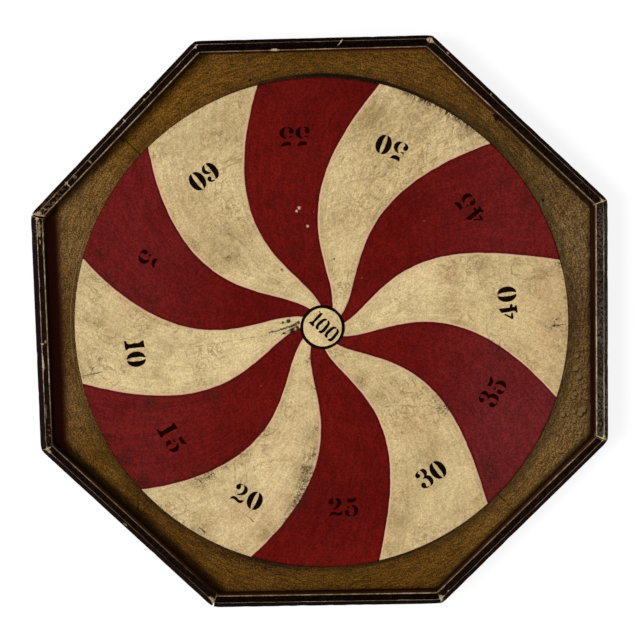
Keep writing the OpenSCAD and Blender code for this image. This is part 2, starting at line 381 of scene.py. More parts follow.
# Where the target's paint is specked with black: place, reach in mm, and strength
specked = (
    (-221, 98, 5, 0.8), (-236, 84, 9, 0.8), (-247, 82, 7, 0.6), (-223, 55, 10, 0.7), (-201, 41, 12, 0.6),
    (-183, 32, 9, 0.5), (-240, 108, 10, 0.3), (-244, -106, 8, 0.9), (-234, -119, 8, 0.9),
    (-217, -143, 9, 0.8), (-197, -163, 11, 0.9), (-186, -82, 9, 0.7), (-170, -84, 8, 0.4),
    (-115, -72, 8, 0.7), (-127, -75, 8, 0.5), (-90, -134, 12, 0.5), (-66, -112, 11, 0.5),
    (-135, -156, 12, 0.5), (-159, -162, 10, 0.5), (-109, -151, 10, 0.4), (-13, -140, 8, 0.6),
    (-19, -158, 9, 0.8), (-21, -169, 9, 0.9), (-23, -178, 8, 1.0), (-27, -186, 9, 1.0), (-30, -195, 9, 0.9),
    (-36, -202, 8, 0.7), (-122, -160, 9, 0.8), (-136, -166, 9, 0.7), (-59, -227, 6, 0.8),
    (-8, -112, 7, 0.5), (-43, -214, 7, 0.8), (-25, -262, 9, 0.4), (5, -262, 10, 0.6), (-10, -262, 8, 0.6),
    (27, -211, 5, 1.0), (56, -92, 8, 0.3), (176, -153, 9, 0.9), (180, -166, 11, 0.9), (189, -27, 10, 0.6),
    (180, -24, 8, 0.5), (248, -86, 7, 0.6), (133, -91, 10, 0.8), (125, -80, 8, 0.5), (-27, 84, 9, 0.5),
    (-6, 68, 8, 0.4), (-18, 101, 6, 0.3), (-57, 252, 8, 0.4), (-98, 76, 7, 0.5), (-136, 88, 9, 0.5),
    (-115, 70, 8, 0.4), (-40, 61, 5, 0.4), (120, 233, 9, 0.5), (162, 206, 9, 0.6), (140, 219, 9, 0.5),
    (73, 242, 8, 0.4), (46, 198, 7, 0.3), (255, 63, 7, 0.7), (255, 4, 7, 0.6), (248, -4, 7, 0.6),
    (198, 151, 12, 0.6), (214, 140, 10, 0.5), (218, 126, 10, 0.6), (224, 100, 9, 0.4), (-259, -49, 6, 0.7),
    (-237, 33, 8, 0.4), (42, -60, 7, 0.4), (-13, -37, 7, 0.6), (-145, -26, 8, 0.2), (30, 20, 8, 0.3),
    (-225, 64, 8, 0.5),
)
# Where the cream is stained brown: place, reach in mm, and strength
stained = (
    (-100, 90, 28, 0.5), (-97, 76, 9, 0.6), (-140, 197, 30, 0.3), (-100, 220, 36, 0.35),
    (-150, 150, 22, 0.25), (-125, 108, 20, 0.3), (60, 225, 24, 0.6), (110, 226, 26, 0.6),
    (160, 200, 24, 0.5), (46, 170, 20, 0.25), (30, 120, 18, 0.2), (240, 55, 22, 0.4), (200, 62, 22, 0.35),
    (171, 64, 18, 0.35), (140, 55, 20, 0.3), (250, 10, 14, 0.3), (210, -30, 14, 0.4), (120, 20, 24, 0.2),
    (115, -148, 24, 0.5), (76, -214, 20, 0.55), (84, -192, 14, 0.4), (67, -76, 14, 0.4),
    (125, -160, 26, 0.3), (140, -210, 26, 0.3), (60, -240, 18, 0.35), (100, -110, 16, 0.3),
    (-135, -160, 26, 0.5), (-90, -190, 26, 0.3), (-24, -160, 16, 0.6), (-34, -196, 16, 0.6),
    (-64, -227, 18, 0.6), (-13, -120, 12, 0.45), (-150, -8, 30, 0.15), (-250, -42, 14, 0.4),
    (-240, 20, 22, 0.2), (-60, -10, 14, 0.25), (-85, 70, 10, 0.4), (40, -60, 12, 0.45), (35, 40, 10, 0.3),
    (-120, -140, 14, 0.35),
)


def blades(f, edge, stain, strokes):
    """The red and the cream, and the painter's edge between them, with a pink line and a dark one."""
    near_rim = f.rise(f.radius, 215 * MM, 264 * MM)
    outer = f.times(near_rim, f.rise(f.noise(45, 5, 0.7), 0.25, 0.6), 0.32)
    by_edge = f.times(f.fall(edge, 1.5 * MM, 11 * MM), f.rise(f.noise(30, 4, 0.6), 0.3, 0.6, 0.3, 0.1))
    cream = cream_colour(f, f.highest(stain, outer, by_edge), strokes)
    red = red_colour(f, strokes)
    line_noise = f.rise(f.noise(40, 4, 0.6, move=(4, 9, 0)), 0.3, 0.6, 1.0, 0.45)
    pink = f.times(f.fall(edge, 1.5 * MM, 2.1 * MM), line_noise)
    cream = f.mix(f.times(pink, 0.9), cream, srgb(220, 174, 144))
    dark_line = f.times(f.rise(edge, -2.9 * MM, -2.0 * MM), f.rise(f.noise(33, 4, 0.6), 0.3, 0.6, 0.55, 0.35))
    red = f.mix(dark_line, red, srgb(58, 9, 3))
    f.colour = f.mix(f.rise(edge, -0.15 * MM, 0.15 * MM), red, cream)


def black_specks(f, specks):
    """Fine specks all over, and dots and bruises where the board was hit."""
    fine = f.plus(f.noise(560, 4, 0.75), f.times(specks, 0.2))
    speck = f.rise(fine, 0.66, 0.71, 0.9)
    coarse = f.plus(f.noise(400, 3, 0.7, move=(6, 2, 0)), f.times(specks, 0.1))
    dots = f.times(f.rise(coarse, 0.575, 0.64, 0.65), f.rise(specks, 0.1, 0.5))
    bruise = f.times(specks, f.rise(f.noise(240, 5, 0.75), 0.4, 0.6), 0.22)
    f.coat(f.highest(speck, dots, bruise), (38, 25, 17))


def joint_crack(f, wander):
    """The glue joint between the two boards, dark where it has opened."""
    bent = f.unsigned(f.plus(towards(f, joint_angle + 90), f.times(wander, 1.0 * MM)))
    along = towards(f, joint_angle)
    crack = f.times(
        f.fall(bent, 0.3 * MM, 1.0 * MM),
        f.rise(f.noise(40, 5, 0.7, move=(1, 0, 0)), 0.42, 0.56),
        f.fall(along, -30 * MM, -22 * MM),
        f.rise(along, -150 * MM, -120 * MM),
    )
    f.coat(f.times(crack, 0.6), (112, 88, 54))


def blade_ends(f, edge, on_cream, wander):
    """Marks at the target's edge: ticks and a painted highlight on the cream, and a darker outer end on the
    red in a few places.
    """
    ticks = f.noise(360, 4, 0.75, polar(f, 265 * MM, 0.3))
    ragged_radius = f.plus(f.radius, f.times(wander, 9 * MM))
    near_end = f.rise(ragged_radius, target_radius - 7 * MM, target_radius - 0.5 * MM)
    for angle, half, strength in edge_ticks:
        marked = f.times(f.rise(ticks, 0.6 - 0.14 * strength, 0.68 - 0.14 * strength), near_end)
        marked = f.times(marked, facing(f, angle, half), strength)
        f.coat(f.times(marked, on_cream), (62, 44, 24))
    # Painted highlight along the cream's eased edge, left out about 58 degrees
    edge_highlight = f.rise(f.radius, target_radius - 1.6 * MM, target_radius - 0.8 * MM, 0.5)
    edge_highlight = f.times(edge_highlight, f.fall(facing(f, 58, 12), 0, 1))
    f.coat(f.times(edge_highlight, on_cream), (206, 174, 136))
    dark_end = f.highest(
        facing(f, 85, 20), f.times(facing(f, 258, 12), 0.8), f.times(facing(f, 325, 55), 0.35)
    )
    red_end = f.times(f.rise(f.radius, target_radius - 3 * MM, target_radius - 0.6 * MM, 0.8), dark_end)
    f.coat(f.times(red_end, f.fall(edge, -1 * MM, 0)), (40, 10, 8))


def target_paint():
    """Red and cream blades, with the painter's edges, old grime and a few chips."""
    f = Finish("pinwheel_paint")
    specks, stain, _ = f.split(f.attribute("marks", "Vector"))
    strokes = f.noise(330, 4, 0.68, f.attribute("stroke", "Vector"))
    wander = f.minus(f.noise(75, 4, 0.6), 0.5)
    edge = f.plus(f.attribute("blade_edge"), f.times(wander, 1.6 * MM))
    on_cream = f.rise(edge, 0, 1 * MM)
    blades(f, edge, stain, strokes)
    black_specks(f, specks)
    joint_crack(f, wander)
    for start, end, width in target_scratches:
        f.coat(f.times(scratch(f, start, end, width), 0.85), black_mark)
    for centre, size, shade in target_spots:
        f.coat(f.times(spot(f, centre, size), 0.9), shade)
    blade_ends(f, edge, on_cream, wander)
    brushed = f.plus(f.times(strokes, 0.6), f.noise(110, 7, 0.7, bend=0.6))
    f.bump(brushed, 0.3 * MM)
    f.bump(f.noise(420, 3, 0.7), 0.1 * MM)
    f.bump(f.times(f.noise(75, 4, 0.6, bend=1.0), on_cream), 0.8 * MM)
    f.bump(edge, 0.2 * MM, 0.3)
    return f.done(f.rise(f.noise(30, 5), 0.3, 0.7, 0.78, 0.6))


def stencil_paint(name, under, wear):
    """Black stencil paint, worn through in specks to the colour under it."""
    f = Finish(name)
    worn = f.rise(f.noise(420, 4, 0.7), 0.7 - 0.1 * wear, 0.8 - 0.1 * wear, 0.7)
    thin = f.rise(f.noise(110, 5, 0.65), 0.35, 0.7, 0.4 * wear, 0.06 * wear)
    f.colour = f.mix(f.highest(worn, thin), srgb(11, 1, 0), srgb(*under))
    f.bump(f.noise(500, 3), 0.12 * MM)
    return f.done(0.8, specular=0.01)


def hub_paint():
    """The hub's cream paint, without the sectors' stains."""
    f = Finish("hub_cream_paint")
    cream_colour(f)
    f.bump(f.noise(160, 6, 0.65), 0.3 * MM)
    return f.done(0.7)


# Round the target on the field, every 15 degrees from +X on: how dark the thin painted shadow line at the
# target's edge is, how wide it is in mm, how dark the broad shade beyond it is, how grey the paint is (partly
# a painted sheen), and how light (partly painted light and shade)
disc_shadow_line = (
    0.25, 0.1, 0.1, 0.3, 0.65, 0.97, 0.97, 0.5, 0.15, 0.05, 0, 0, 0, 0.05, 0.15, 0.5, 0.3, 0.75, 0.35, 0.7,
    0.5, 0.3, 0.15, 0.3, 0.25,
)
disc_shadow_width = (
    1.6, 1.4, 1.4, 1.8, 2.4, 3.6, 4.0, 2.4, 1.5, 1.5, 1.5, 1.5, 1.5, 1.5, 1.5, 3.6, 2.5, 4.2, 4.5, 3.6, 2.2,
    1.8, 1.5, 1.6, 1.6,
)
disc_shade = (
    0.45, 0.45, 0.45, 0.5, 0.6, 0.3, 0.15, 0.25, 0.2, 0.4, 0.15, 0.1, 0.1, 0.1, 0.45, 0.35, 0.42, 0.25, 0.2,
    0.35, 0.6, 0.62, 0.62, 0.5, 0.45,
)
field_grey = (
    1.1, 1.5, 1.1, 0.45, 0.1, 0.1, 0, 0.1, 0, 0, 0.9, 1.1, 0.4, 1.1, 0, 0, 0, 0.1, 0, 0, 0.1, 0.5, 1, 1.1,
    1.1,
)
field_level = (
    0.75, 1.0, 0.95, 0.85, 1.0, 1.05, 0.95, 1.0, 1.25, 1.15, 1.4, 1.1, 0.75, 1.15, 1.0, 0.8, 0.95, 0.95, 0.95,
    0.95, 1.0, 1.3, 1.1, 1.0, 0.75,
)
# Grime and painted shade along each rim wall, widest at the left: the wall's direction in degrees, where it
# is solid and where it ends in mm,
# colour and strength
wall_grime_and_shade = (
    (90, 0.1, 1.1, (30, 16, 6), 0.7), (45, 1.5, 3.2, (20, 8, 4), 0.9), (0, 1.5, 8.5, (40, 23, 12), 0.85),
    (0, 2.4, 3.8, (24, 6, 2), 0.9), (315, 0.6, 5.5, (34, 18, 8), 0.8), (270, 0.1, 1.4, (48, 28, 10), 0.3),
    (225, 0.5, 13.5, (32, 16, 6), 0.85), (180, 8.5, 19.5, (50, 14, 6), 0.97),
    (135, 0.5, 4.5, (34, 18, 6), 0.6),
)
# Thin red-brown lines just inside the rim: the wall's direction, then the angle and half width seen from
# the hub, and strength
red_lines = ((90, 74, 12, 0.6), (45, 58, 9, 0.5), (0, 14, 7, 0.2))
# Blisters in the field's paint on the right, in mm: place and size
blisters = (
    ((274.6, -38.4), 2.4), ((273.3, -51.8), 2.9), ((276.8, -61.1), 3.2), ((272.7, -79.3), 2.3),
    ((271.0, -109.5), 2.1), ((270.8, -98.8), 2.2), ((258.9, -101.9), 2.7), ((281.0, -97.0), 3.6),
    ((278.0, -101.5), 2.8), ((284.0, -30.0), 1.3), ((283.0, -72.0), 2.2), ((284.5, -84.0), 1.8),
)
# Dark marks on the field, in mm: place, size, and softness
field_spots = (
    ((190.9, 217.9), 3.3, 0.2), ((194.9, 214.9), 1.7, 0.4), ((188.2, 220.4), 1.6, 0.5),
    ((-205.7, 202.4), 1.2, 0.5), ((-105.2, -255.3), 0.9, 0.4), ((-67.1, -265.0), 1.2, 0.5),
    ((-69.0, 263.4), 1.5, 0.4), ((-27.0, 252.0), 0.9, 0.5), ((-146.1, 234.8), 0.8, 0.4),
    ((239.0, 130.0), 1.6, 0.7), ((63.0, 283.0), 0.9, 0.5), ((70.0, 284.5), 0.7, 0.5),
)
field_scratches = (
    ((-203.4, -175.4), (-203.9, -197.6), 1.2), ((-201.0, -194.0), (-193.8, -186.9), 0.7),
    ((-206.0, 203.0), (-197.0, 208.0), 0.8), ((193.0, 228.0), (203.0, 214.0), 0.8),
    ((-220.0, 186.0), (-229.0, 176.0), 0.6),
)


def field_ground(f, around, right_side, strokes):
    """The mustard itself: greyer and lighter in places, brushed, and like leather at the right; the grey is
    partly painted sheen, the lightness and the leather's ridges partly painted light and shade.
    """
    # Greyer in places round the board, partly as a painted sheen
    f.colour = f.mix(f.ramp(around, [grey / 2 for grey in field_grey]), srgb(90, 59, 15), srgb(106, 85, 55))
    # Lighter or darker round the board, partly as painted light and shade
    level = f.ramp(around, [level / 2 for level in field_level])
    f.shade(level, 0.0, 2.0, 0.0, 1.0)
    mottle = f.rise(f.noise(16, 5, 0.6), 0.38, 0.66, 0.4)
    f.coat(mottle, (76, 48, 13))
    rub = f.rise(f.noise(24, 5, 0.6, move=(4, 4, 0)), 0.52, 0.74, 0.35)
    f.coat(rub, (116, 84, 36))
    f.shade(strokes, 1.42, 0.6)
    f.shade(f.noise(120, 3, 0.6), 1.05, 0.95)
    f.shade(f.noise(720, 1, 0.5), 1.6, 0.5, 0.36, 0.64)
    # Painted light and shade on the leathery ridges at the right, lighter on their sides towards the lamp
    leather_light_and_shade = ridges(f, 150, 1.0 * MM, 0.65, 1.2, (1, 0.8, 1), 5)
    leather_light_and_shade = f.tone(f.colour, leather_light_and_shade, 1.28, 0.74, 0.44, 0.56)
    f.colour = f.mix(right_side, f.colour, leather_light_and_shade)


def round_the_target(f, around, disc_gap, ragged):
    """The shade and the thin painted shadow line round the target, and turned rings and a bead on the left.
    """
    shade = f.times(f.fall(f.plus(disc_gap, f.times(ragged, 8)), 4 * MM, 15 * MM), f.ramp(around, disc_shade))
    f.coat(shade, (44, 30, 13))
    width = f.times(f.ramp(around, [width / 5 for width in disc_shadow_width]), 5 * MM)
    # Painted shadow: a thin dark line along the target's edge, darkest at the top
    line = f.fall(f.plus(disc_gap, f.times(ragged, 1.2)), f.times(width, 0.75), f.times(width, 1.35))
    f.coat(f.times(line, f.ramp(around, disc_shadow_line)), (22, 11, 5))
    rings = f.rise(f.math("SINE", f.times(disc_gap, 2 * math.pi / (1.5 * MM))), 0.2, 0.9, 0.5)
    ringed = f.times(f.fall(disc_gap, 3.6 * MM, 4.8 * MM), f.highest(facing(f, 200, 20), facing(f, 165, 8)))
    f.coat(f.times(rings, ringed), (44, 28, 12))
    bead = f.times(
        f.fall(f.unsigned(f.minus(disc_gap, 4.5 * MM)), 0.3 * MM, 1.0 * MM),
        facing(f, 176, 16), f.rise(f.noise(30, 4), 0.35, 0.6, 0.6),
    )
    f.coat(bead, (122, 96, 58))


def along_the_rim(f, ragged):
    """Grime and painted shade along each rim wall, and thin red-brown lines inside some of them."""
    for angle, solid, end, shade, strength in wall_grime_and_shade:
        # Each band darkens the field by its wall: grime together with painted shade
        gap = f.minus(rim_inner, towards(f, angle))
        band = f.fall(f.plus(gap, f.times(ragged, 4)), solid * MM, end * MM, strength)
        f.coat(band, shade)
        for wall, middle, half, redness in red_lines:
            if wall == angle:
                thin = f.times(f.fall(gap, 1.0 * MM, 2.2 * MM), facing(f, middle, half), redness)
                f.coat(thin, (96, 42, 24))


def blister(f, centre, size, ragged):
    """A bubble in the paint, with painted light and shade as if lit from the upper left, and a rubbed top."""
    left = f.minus(f.x, centre[0] * MM)
    low = f.minus(f.y, centre[1] * MM)
    away = f.plus(f.length(left, low), f.times(ragged, 2.2))
    # Painted light and shade: the bubble's upper left side pale, its lower right side dark
    lit_side = f.rise(f.minus(low, left), -size * MM, size * MM)
    shade = f.mix(lit_side, srgb(30, 20, 9), srgb(112, 88, 52))
    f.colour = f.mix(f.fall(away, size * 1.1 * MM, size * 1.5 * MM, 0.85), f.colour, shade)
    f.coat(f.fall(away, size * 0.5 * MM, size * 0.9 * MM, 0.7), (124, 98, 60))


def field_paint():
    """Mustard-brown paint, greyer at the sides, with grime and painted shade by the rim and round the target.
    """
    f = Finish("mustard_field_paint")
    around = f.math("FRACT", f.times(f.math("ARCTAN2", f.y, f.x), 1 / (2 * math.pi)))
    strokes = f.noise(560, 3, 0.6, polar(f, 50 * MM, 1.0))
    right_side = f.rise(f.x, 200 * MM, 260 * MM)
    ragged = f.times(f.minus(f.noise(90, 5, 0.68), 0.5), MM)
    disc_gap = f.minus(f.radius, target_radius)
    field_ground(f, around, right_side, strokes)
    round_the_target(f, around, disc_gap, ragged)
    along_the_rim(f, ragged)
    low_left = f.times(facing(f, 250, 9), f.fall(disc_gap, 8 * MM, 20 * MM), 0.19)
    top = f.times(facing(f, 75, 22, 8), f.fall(disc_gap, 4 * MM, 12 * MM), 0.1)
    fine = f.plus(f.noise(520, 4, 0.75), f.highest(low_left, top))
    f.coat(f.rise(fine, 0.665, 0.72, 0.8), (34, 19, 8))
    for centre, size in blisters:
        blister(f, centre, size, ragged)
    for centre, size, soft in field_spots:
        f.coat(f.times(spot(f, centre, size, soft), 0.95), (14, 8, 5))
    for start, end, width in field_scratches:
        f.coat(f.times(scratch(f, start, end, width), 0.85), (20, 12, 7))
    leather = f.unsigned(f.minus(f.noise(260, 3, 0.65, bend=0.4), 0.5))
    f.bump(f.noise(110, 4, 0.6, bend=0.5), 0.25 * MM)
    f.bump(f.times(leather, f.rise(right_side, 0, 1, 1.0, 0.35)), -0.7 * MM)
    f.bump(strokes, 0.3 * MM)
    return f.done(f.rise(f.noise(40, 4), 0.3, 0.7, 0.8, 0.6))


def rim_black(f, below, grey, left_wall):
    """Black paint, browner, rougher and dustier on the strips that are said to be grey; their pale grey
    speckle is dust and a painted sheen.
    """
    f.colour = f.mix(f.noise(35, 5, 0.6), srgb(2, 0, 0), srgb(10, 4, 2))
    f.coat(f.rise(grey, 0, 0.6), (20, 9, 5))
    rough_share = f.rise(grey, 0, 0.4, 0.7, 0.35)
    rough = f.rise(f.noise(260, 4, 0.75, move=(2, 5, 0)), 0.44, 0.66, rough_share)
    f.coat(rough, (36, 21, 15))
    by_left_wall = f.fall(f.x, left_wall, left_wall + 4 * MM)
    purple = f.times(f.rise(below, 0.8 * MM, 1.2 * MM), by_left_wall, 0.8)
    f.coat(purple, (18, 9, 19))
    # Pale grey speckle on the grey strips: dust together with a painted sheen
    speckle = f.rise(f.noise(420, 3, 0.7), 0.44, 0.6)
    patchy = f.rise(f.noise(22, 4, 0.6), 0.35, 0.65, 1.0, 0.35)
    dust_and_sheen = f.rise(grey, 0.5, 1.0)
    f.coat(f.times(dust_and_sheen, patchy, f.plus(f.times(speckle, 0.75), 0.02)), (88, 84, 75))
    fleck = f.rise(f.noise(430, 4, 0.75, move=(3, 3, 3)), 0.64, 0.71, 0.35)
    f.coat(fleck, (92, 74, 52))


def rim_wall(f, from_outer, from_inner, below, left_wall):
    """The maroon-brown inner wall, with painted shade that makes it darker at the left and lower down, and
    grimy and shaded at its foot.
    """
    maroon = f.mix(f.noise(60, 5, 0.6), srgb(50, 26, 11), srgb(74, 44, 20))
    # Painted shade: the wall darker at the left, where it faces away from the lamp
    maroon = f.tone(maroon, f.x, 0.3, 1.0, left_wall, -240 * MM)
    # Painted light and shade: the wall lighter near its top and darker lower down
    maroon = f.tone(maroon, below, 1.5, 0.55, 3 * MM, 12 * MM)
    drip = f.times(f.minus(f.noise(110, 4, 0.6), 0.5), 2 * MM)
    on_wall = f.times(f.fall(from_inner, 19 * MM, 20 * MM), f.rise(f.plus(below, drip), 2.4 * MM, 3.2 * MM))
    inside = f.times(on_wall, f.rise(from_outer, 8 * MM, 9 * MM))
    f.colour = f.mix(inside, f.colour, maroon)
    # Grime and painted shade at the wall's foot, less on the bottom strip
    foot_grime_and_shade = f.times(f.rise(below, 13 * MM, 19.5 * MM, 0.7), f.rise(f.y, -285 * MM, -260 * MM, 1.0, 0.25))
    f.coat(f.times(foot_grime_and_shade, inside), (20, 8, 4))


def rubbed_arrises(f, away_and_wear, upper, bare):
    """Thin worn lines along the strips' edges, from dim to bare."""
    uneven = f.rise(f.noise(70, 5, 0.7, move=(1, 2, 3)), 0.3, 0.68, 1.4, 0.5)
    for away, wear in away_and_wear:
        rubbed_off = f.times(wear, uneven)
        shown = f.math("MINIMUM", f.times(rubbed_off, 6), 1)
        half = f.plus(f.times(shown, 0.28 * MM), f.times(rubbed_off, 0.32 * MM))
        line = f.times(f.fall(away, f.times(half, 0.5), half), upper)
        f.colour = f.mix(line, f.colour, f.mix(rubbed_off, srgb(78, 54, 38), bare))


def bare_places(f, from_outer, from_inner, mitre, patch, cut_edge):
    """Where the wood shows: the strips' tips, their cut edges, nicks, and the marks listed one by one."""
    wobble = f.minus(f.noise(130, 5, 0.7), 0.5)
    tip = f.plus(f.times(mitre, 0.8), f.times(from_outer, 1.2))
    corner = f.fall(f.plus(tip, f.times(wobble, patch, 2.2)), f.times(patch, 0.55), f.times(patch, 0.85))
    off_cut = f.plus(mitre, f.times(wobble, cut_edge, 1.2 * MM))
    cut_line = f.fall(off_cut, f.times(cut_edge, 0.5 * MM), f.times(cut_edge, 1.1 * MM))
    cut_line = f.times(cut_line, f.rise(cut_edge, 0.1, 1.0), f.rise(f.noise(90, 4, 0.7), 0.3, 0.55, 1.0, 0.3))
    nicks = f.times(
        f.rise(f.noise(45, 6, 0.75, move=(8, 0, 0)), 0.68, 0.72),
        f.fall(f.math("MINIMUM", from_outer, from_inner), 0.5 * MM, 1.8 * MM),
    )
    rubbed = f.highest(corner, cut_line, nicks)
    for side, share, depth, length, width, strength in RIM_MARKS:
        off_along = f.minus(towards(f, 45 * side), (share - 0.5) * rim_side)
        off_across = f.minus(towards(f, 45 * side + 90), rim_outer - depth * MM)
        away = f.length(f.times(off_along, 1 / (length * MM)), f.times(off_across, 1 / (width * MM)))
        rubbed = f.highest(rubbed, f.fall(f.plus(away, f.times(wobble, 2.5)), 0.6, 1.2, strength))
    return f.highest(rubbed, scratch(f, *rim_scratch))


def rim_paint():
    """Black paint rubbed to bare wood along the arrises and corners, over a brown inner wall."""
    f = Finish("worn_black_rim_paint")
    from_outer, from_inner, from_low = f.split(f.attribute("arris", "Vector"))
    mitre, below, _ = f.split(f.attribute("strip", "Vector"))
    outer_wear, inner_wear, grey = f.split(f.attribute("wear", "Vector"))
    patch, cut_edge, heavy = f.split(f.attribute("ends", "Vector"))
    left_wall = -rim_inner - 0.5 * MM
    upper = f.fall(below, 9 * MM, 13 * MM)
    rim_black(f, below, grey, left_wall)
    rim_wall(f, from_outer, from_inner, below, left_wall)
    bare = f.mix(f.rise(f.noise(140, 5, 0.7), 0.35, 0.65), srgb(206, 184, 150), srgb(146, 116, 82))
    low_wear = f.times(outer_wear, 0.25)
    away_and_wear = ((from_outer, outer_wear), (from_low, low_wear), (from_inner, inner_wear))
    rubbed_arrises(f, away_and_wear, upper, bare)
    worn_end = f.times(f.fall(mitre, 8 * MM, 46 * MM), heavy)
    chipped = f.rise(f.plus(f.noise(300, 4, 0.75), f.times(worn_end, 0.09)), 0.57, 0.65, 0.8)
    old_wood = f.mix(f.rise(f.noise(120, 4, 0.7), 0.46, 0.58), srgb(86, 58, 38), srgb(190, 156, 116))
    on_top = f.rise(below, 0.3 * MM, 1.2 * MM, 0.2, 1.0)
    f.colour = f.mix(f.times(chipped, on_top, f.rise(worn_end, 0, 0.3)), f.colour, old_wood)
    rubbed = f.times(bare_places(f, from_outer, from_inner, mitre, patch, cut_edge), upper)
    grain = f.rise(f.noise(500, 3, 0.7), 0.36, 0.5, 1.0, 0.55)
    f.colour = f.mix(f.times(rubbed, grain), f.colour, bare)
    f.bump(f.noise(120, 6, 0.65), 0.2 * MM)
    f.bump(f.times(rubbed, -1.0), 0.15 * MM)
    return f.done(f.rise(rubbed, 0, 1, 0.8, 0.6), specular=0.01)


def end_grain():
    """The sawn ends of the rim strips, dark with old dirt and with painted shade, so that the open mitres
    look dark inside.
    """
    f = Finish("dark_end_grain")
    rings = f.noise(1.0, 4, 0.6, f.mapped((60, 60, 220)), 1.0)
    # Very dark wood: old dirt together with painted shade inside the open mitres
    f.colour = f.mix(f.rise(rings, 0.35, 0.65), srgb(26, 16, 10), srgb(44, 29, 18))
    f.coat(f.rise(f.noise(90, 5, 0.7), 0.5, 0.7, 0.7), (12, 7, 5))
    f.bump(rings, 0.2 * MM)
    return f.done(0.9, specular=0.02)


def pine(name, along_x, tint=1.0):
    """Old unpainted pine, its grain along one axis of the board."""
    f = Finish(name)
    fine = (1.5, 28, 28) if along_x else (28, 1.5, 28)
    fibre = (10, 260, 260) if along_x else (260, 10, 260)
    rings = f.noise(1.0, 5, 0.6, f.mapped(fine), 1.6)
    tones = ((178, 142, 96), (148, 112, 70), (96, 66, 36))
    light, mid, dark = (srgb(*(c * tint for c in tone)) for tone in tones)
    f.colour = f.mix(f.rise(rings, 0.36, 0.52), light, mid)
    f.colour = f.mix(f.rise(rings, 0.55, 0.7, 0.8), f.colour, dark)
    f.shade(f.noise(1.0, 3, 0.6, f.mapped(fibre)), 1.1, 0.86)
    grime = f.rise(f.noise(7, 6, 0.65), 0.45, 0.75, 0.5)
    f.coat(grime, (82, 62, 42))
    f.bump(rings, 0.5 * MM, 0.5)
    f.bump(f.noise(1.0, 3, 0.6, f.mapped(fibre)), 0.15 * MM)
    return f.done(0.72, specular=0.2)


def old_metal(name, bright, rust_share):
    """Bare metal, dulled, with rust in patches."""
    f = Finish(name)
    rust = f.rise(f.noise(500, 6, 0.7), 0.62 - 0.3 * rust_share, 0.75 - 0.3 * rust_share)
    f.colour = f.mix(rust, srgb(*bright), srgb(96, 54, 30))
    f.bump(f.noise(800, 4), 0.05 * MM)
    return f.done(f.rise(rust, 0, 1, 0.85, 0.42), specular=0.5, metal=0.75)


def octagon_reach(f):
    """How far out a place lies, measured square to the nearest rim strip."""
    return f.highest(*(f.unsigned(towards(f, 45 * k)) for k in range(4)))


def painted_heads(name, shade, shank, head_test):
    """Iron fasteners whose heads were painted over with the surface that they hold."""
    f = Finish(name)
    on_head = head_test(f)
    paint = f.mix(f.noise(300, 4, 0.7), srgb(*shade), srgb(*(c * 0.7 for c in shade)))
    worn = f.rise(f.noise(900, 4, 0.7), 0.6, 0.7, 0.5)
    paint = f.mix(worn, paint, srgb(*(c * 0.6 for c in shade)))
    f.colour = f.mix(on_head, srgb(*shank), paint)
    f.bump(f.noise(900, 3), 0.05 * MM)
    return f.done(0.8, specular=0.02)


def into_scene(name, data):
    """A new object in the scene."""
    thing = bpy.data.objects.new(name, data)
    bpy.context.scene.collection.objects.link(thing)
    return thing


def finished(name, bm, material):
    """A new object in the scene, made of a finished mesh and its material."""
    mesh = bpy.data.meshes.new(name)
    bm.to_mesh(mesh)
    bm.free()
    mesh.materials.append(material)
    return into_scene(name, mesh)


def new_piece(name, bm, material, replaces=()):
    """A finished mesh that rides on the board's one body, in place of the CAD nodes named."""
    piece = finished(name, bm, material)
    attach(piece, "root")
    if replaces:
        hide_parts(*replaces)
    return piece


def edges_of(made):
    return [part for part in made if isinstance(part, bmesh.types.BMEdge)]


def verts_of(made):
    return [part for part in made if isinstance(part, bmesh.types.BMVert)]


def saw(bm, place, outwards):
    """Saws off what lies beyond a plane and closes the cut. Gives back the cut's points and its new faces."""
    everything = list(bm.verts) + list(bm.edges) + list(bm.faces)
    cut = bmesh.ops.bisect_plane(
        bm, geom=everything, dist=WELD, plane_co=place, plane_no=outwards, clear_outer=True
    )["geom_cut"]
    return verts_of(cut), bmesh.ops.contextual_create(bm, geom=edges_of(cut))["faces"]


def blade_edge(share):
    """Radius and turn of the mean edge between two blades, from 0 at the hub to 1 at the target's rim."""
    left = 1 - share
    a, b, c, d = blade_curve
    point = left ** 3 * a + 3 * left * left * share * b + 3 * left * share * share * c + share ** 3 * d
    return point.length, math.atan2(point.y, point.x)


def edge_angle(number, radius, turn):
    """Angle of one edge at a radius, with the painter's own strays."""
    k = number % BLADES
    out = radius / target_radius
    stray = edge_strays[k] + hub_strays[k] * (1 - out) ** 2 + middle_strays[k] * 4 * out * (1 - out)
    return first_edge + 2 * math.pi * number / BLADES + turn + math.radians(stray)


def cloud(point, places):
    """How strongly the marks about some places reach a point, from 0 to 1."""
    strongest = 0.0
    for x, y, reach, strength in places:
        away = math.hypot(point.x / MM - x, point.y / MM - y) / reach
        strongest = max(strongest, strength * math.exp(-away * away))
    return strongest


def blade_place(number, part, share):
    """Radius and angle of a place across a blade, and how far it is from an edge: minus in a cream blade."""
    step = 1 / 128
    radius, turn = blade_edge(share)
    far_radius, far_turn = blade_edge(share + step)
    slant = math.atan2(radius * (far_turn - turn), far_radius - radius)
    here = edge_angle(number, radius, turn)
    ahead = edge_angle(number + 1, radius, turn)
    off_edge = radius * (ahead - here) * min(part, 1 - part) * math.cos(slant)
    return radius, here + (ahead - here) * part, off_edge if number % 2 else -off_edge


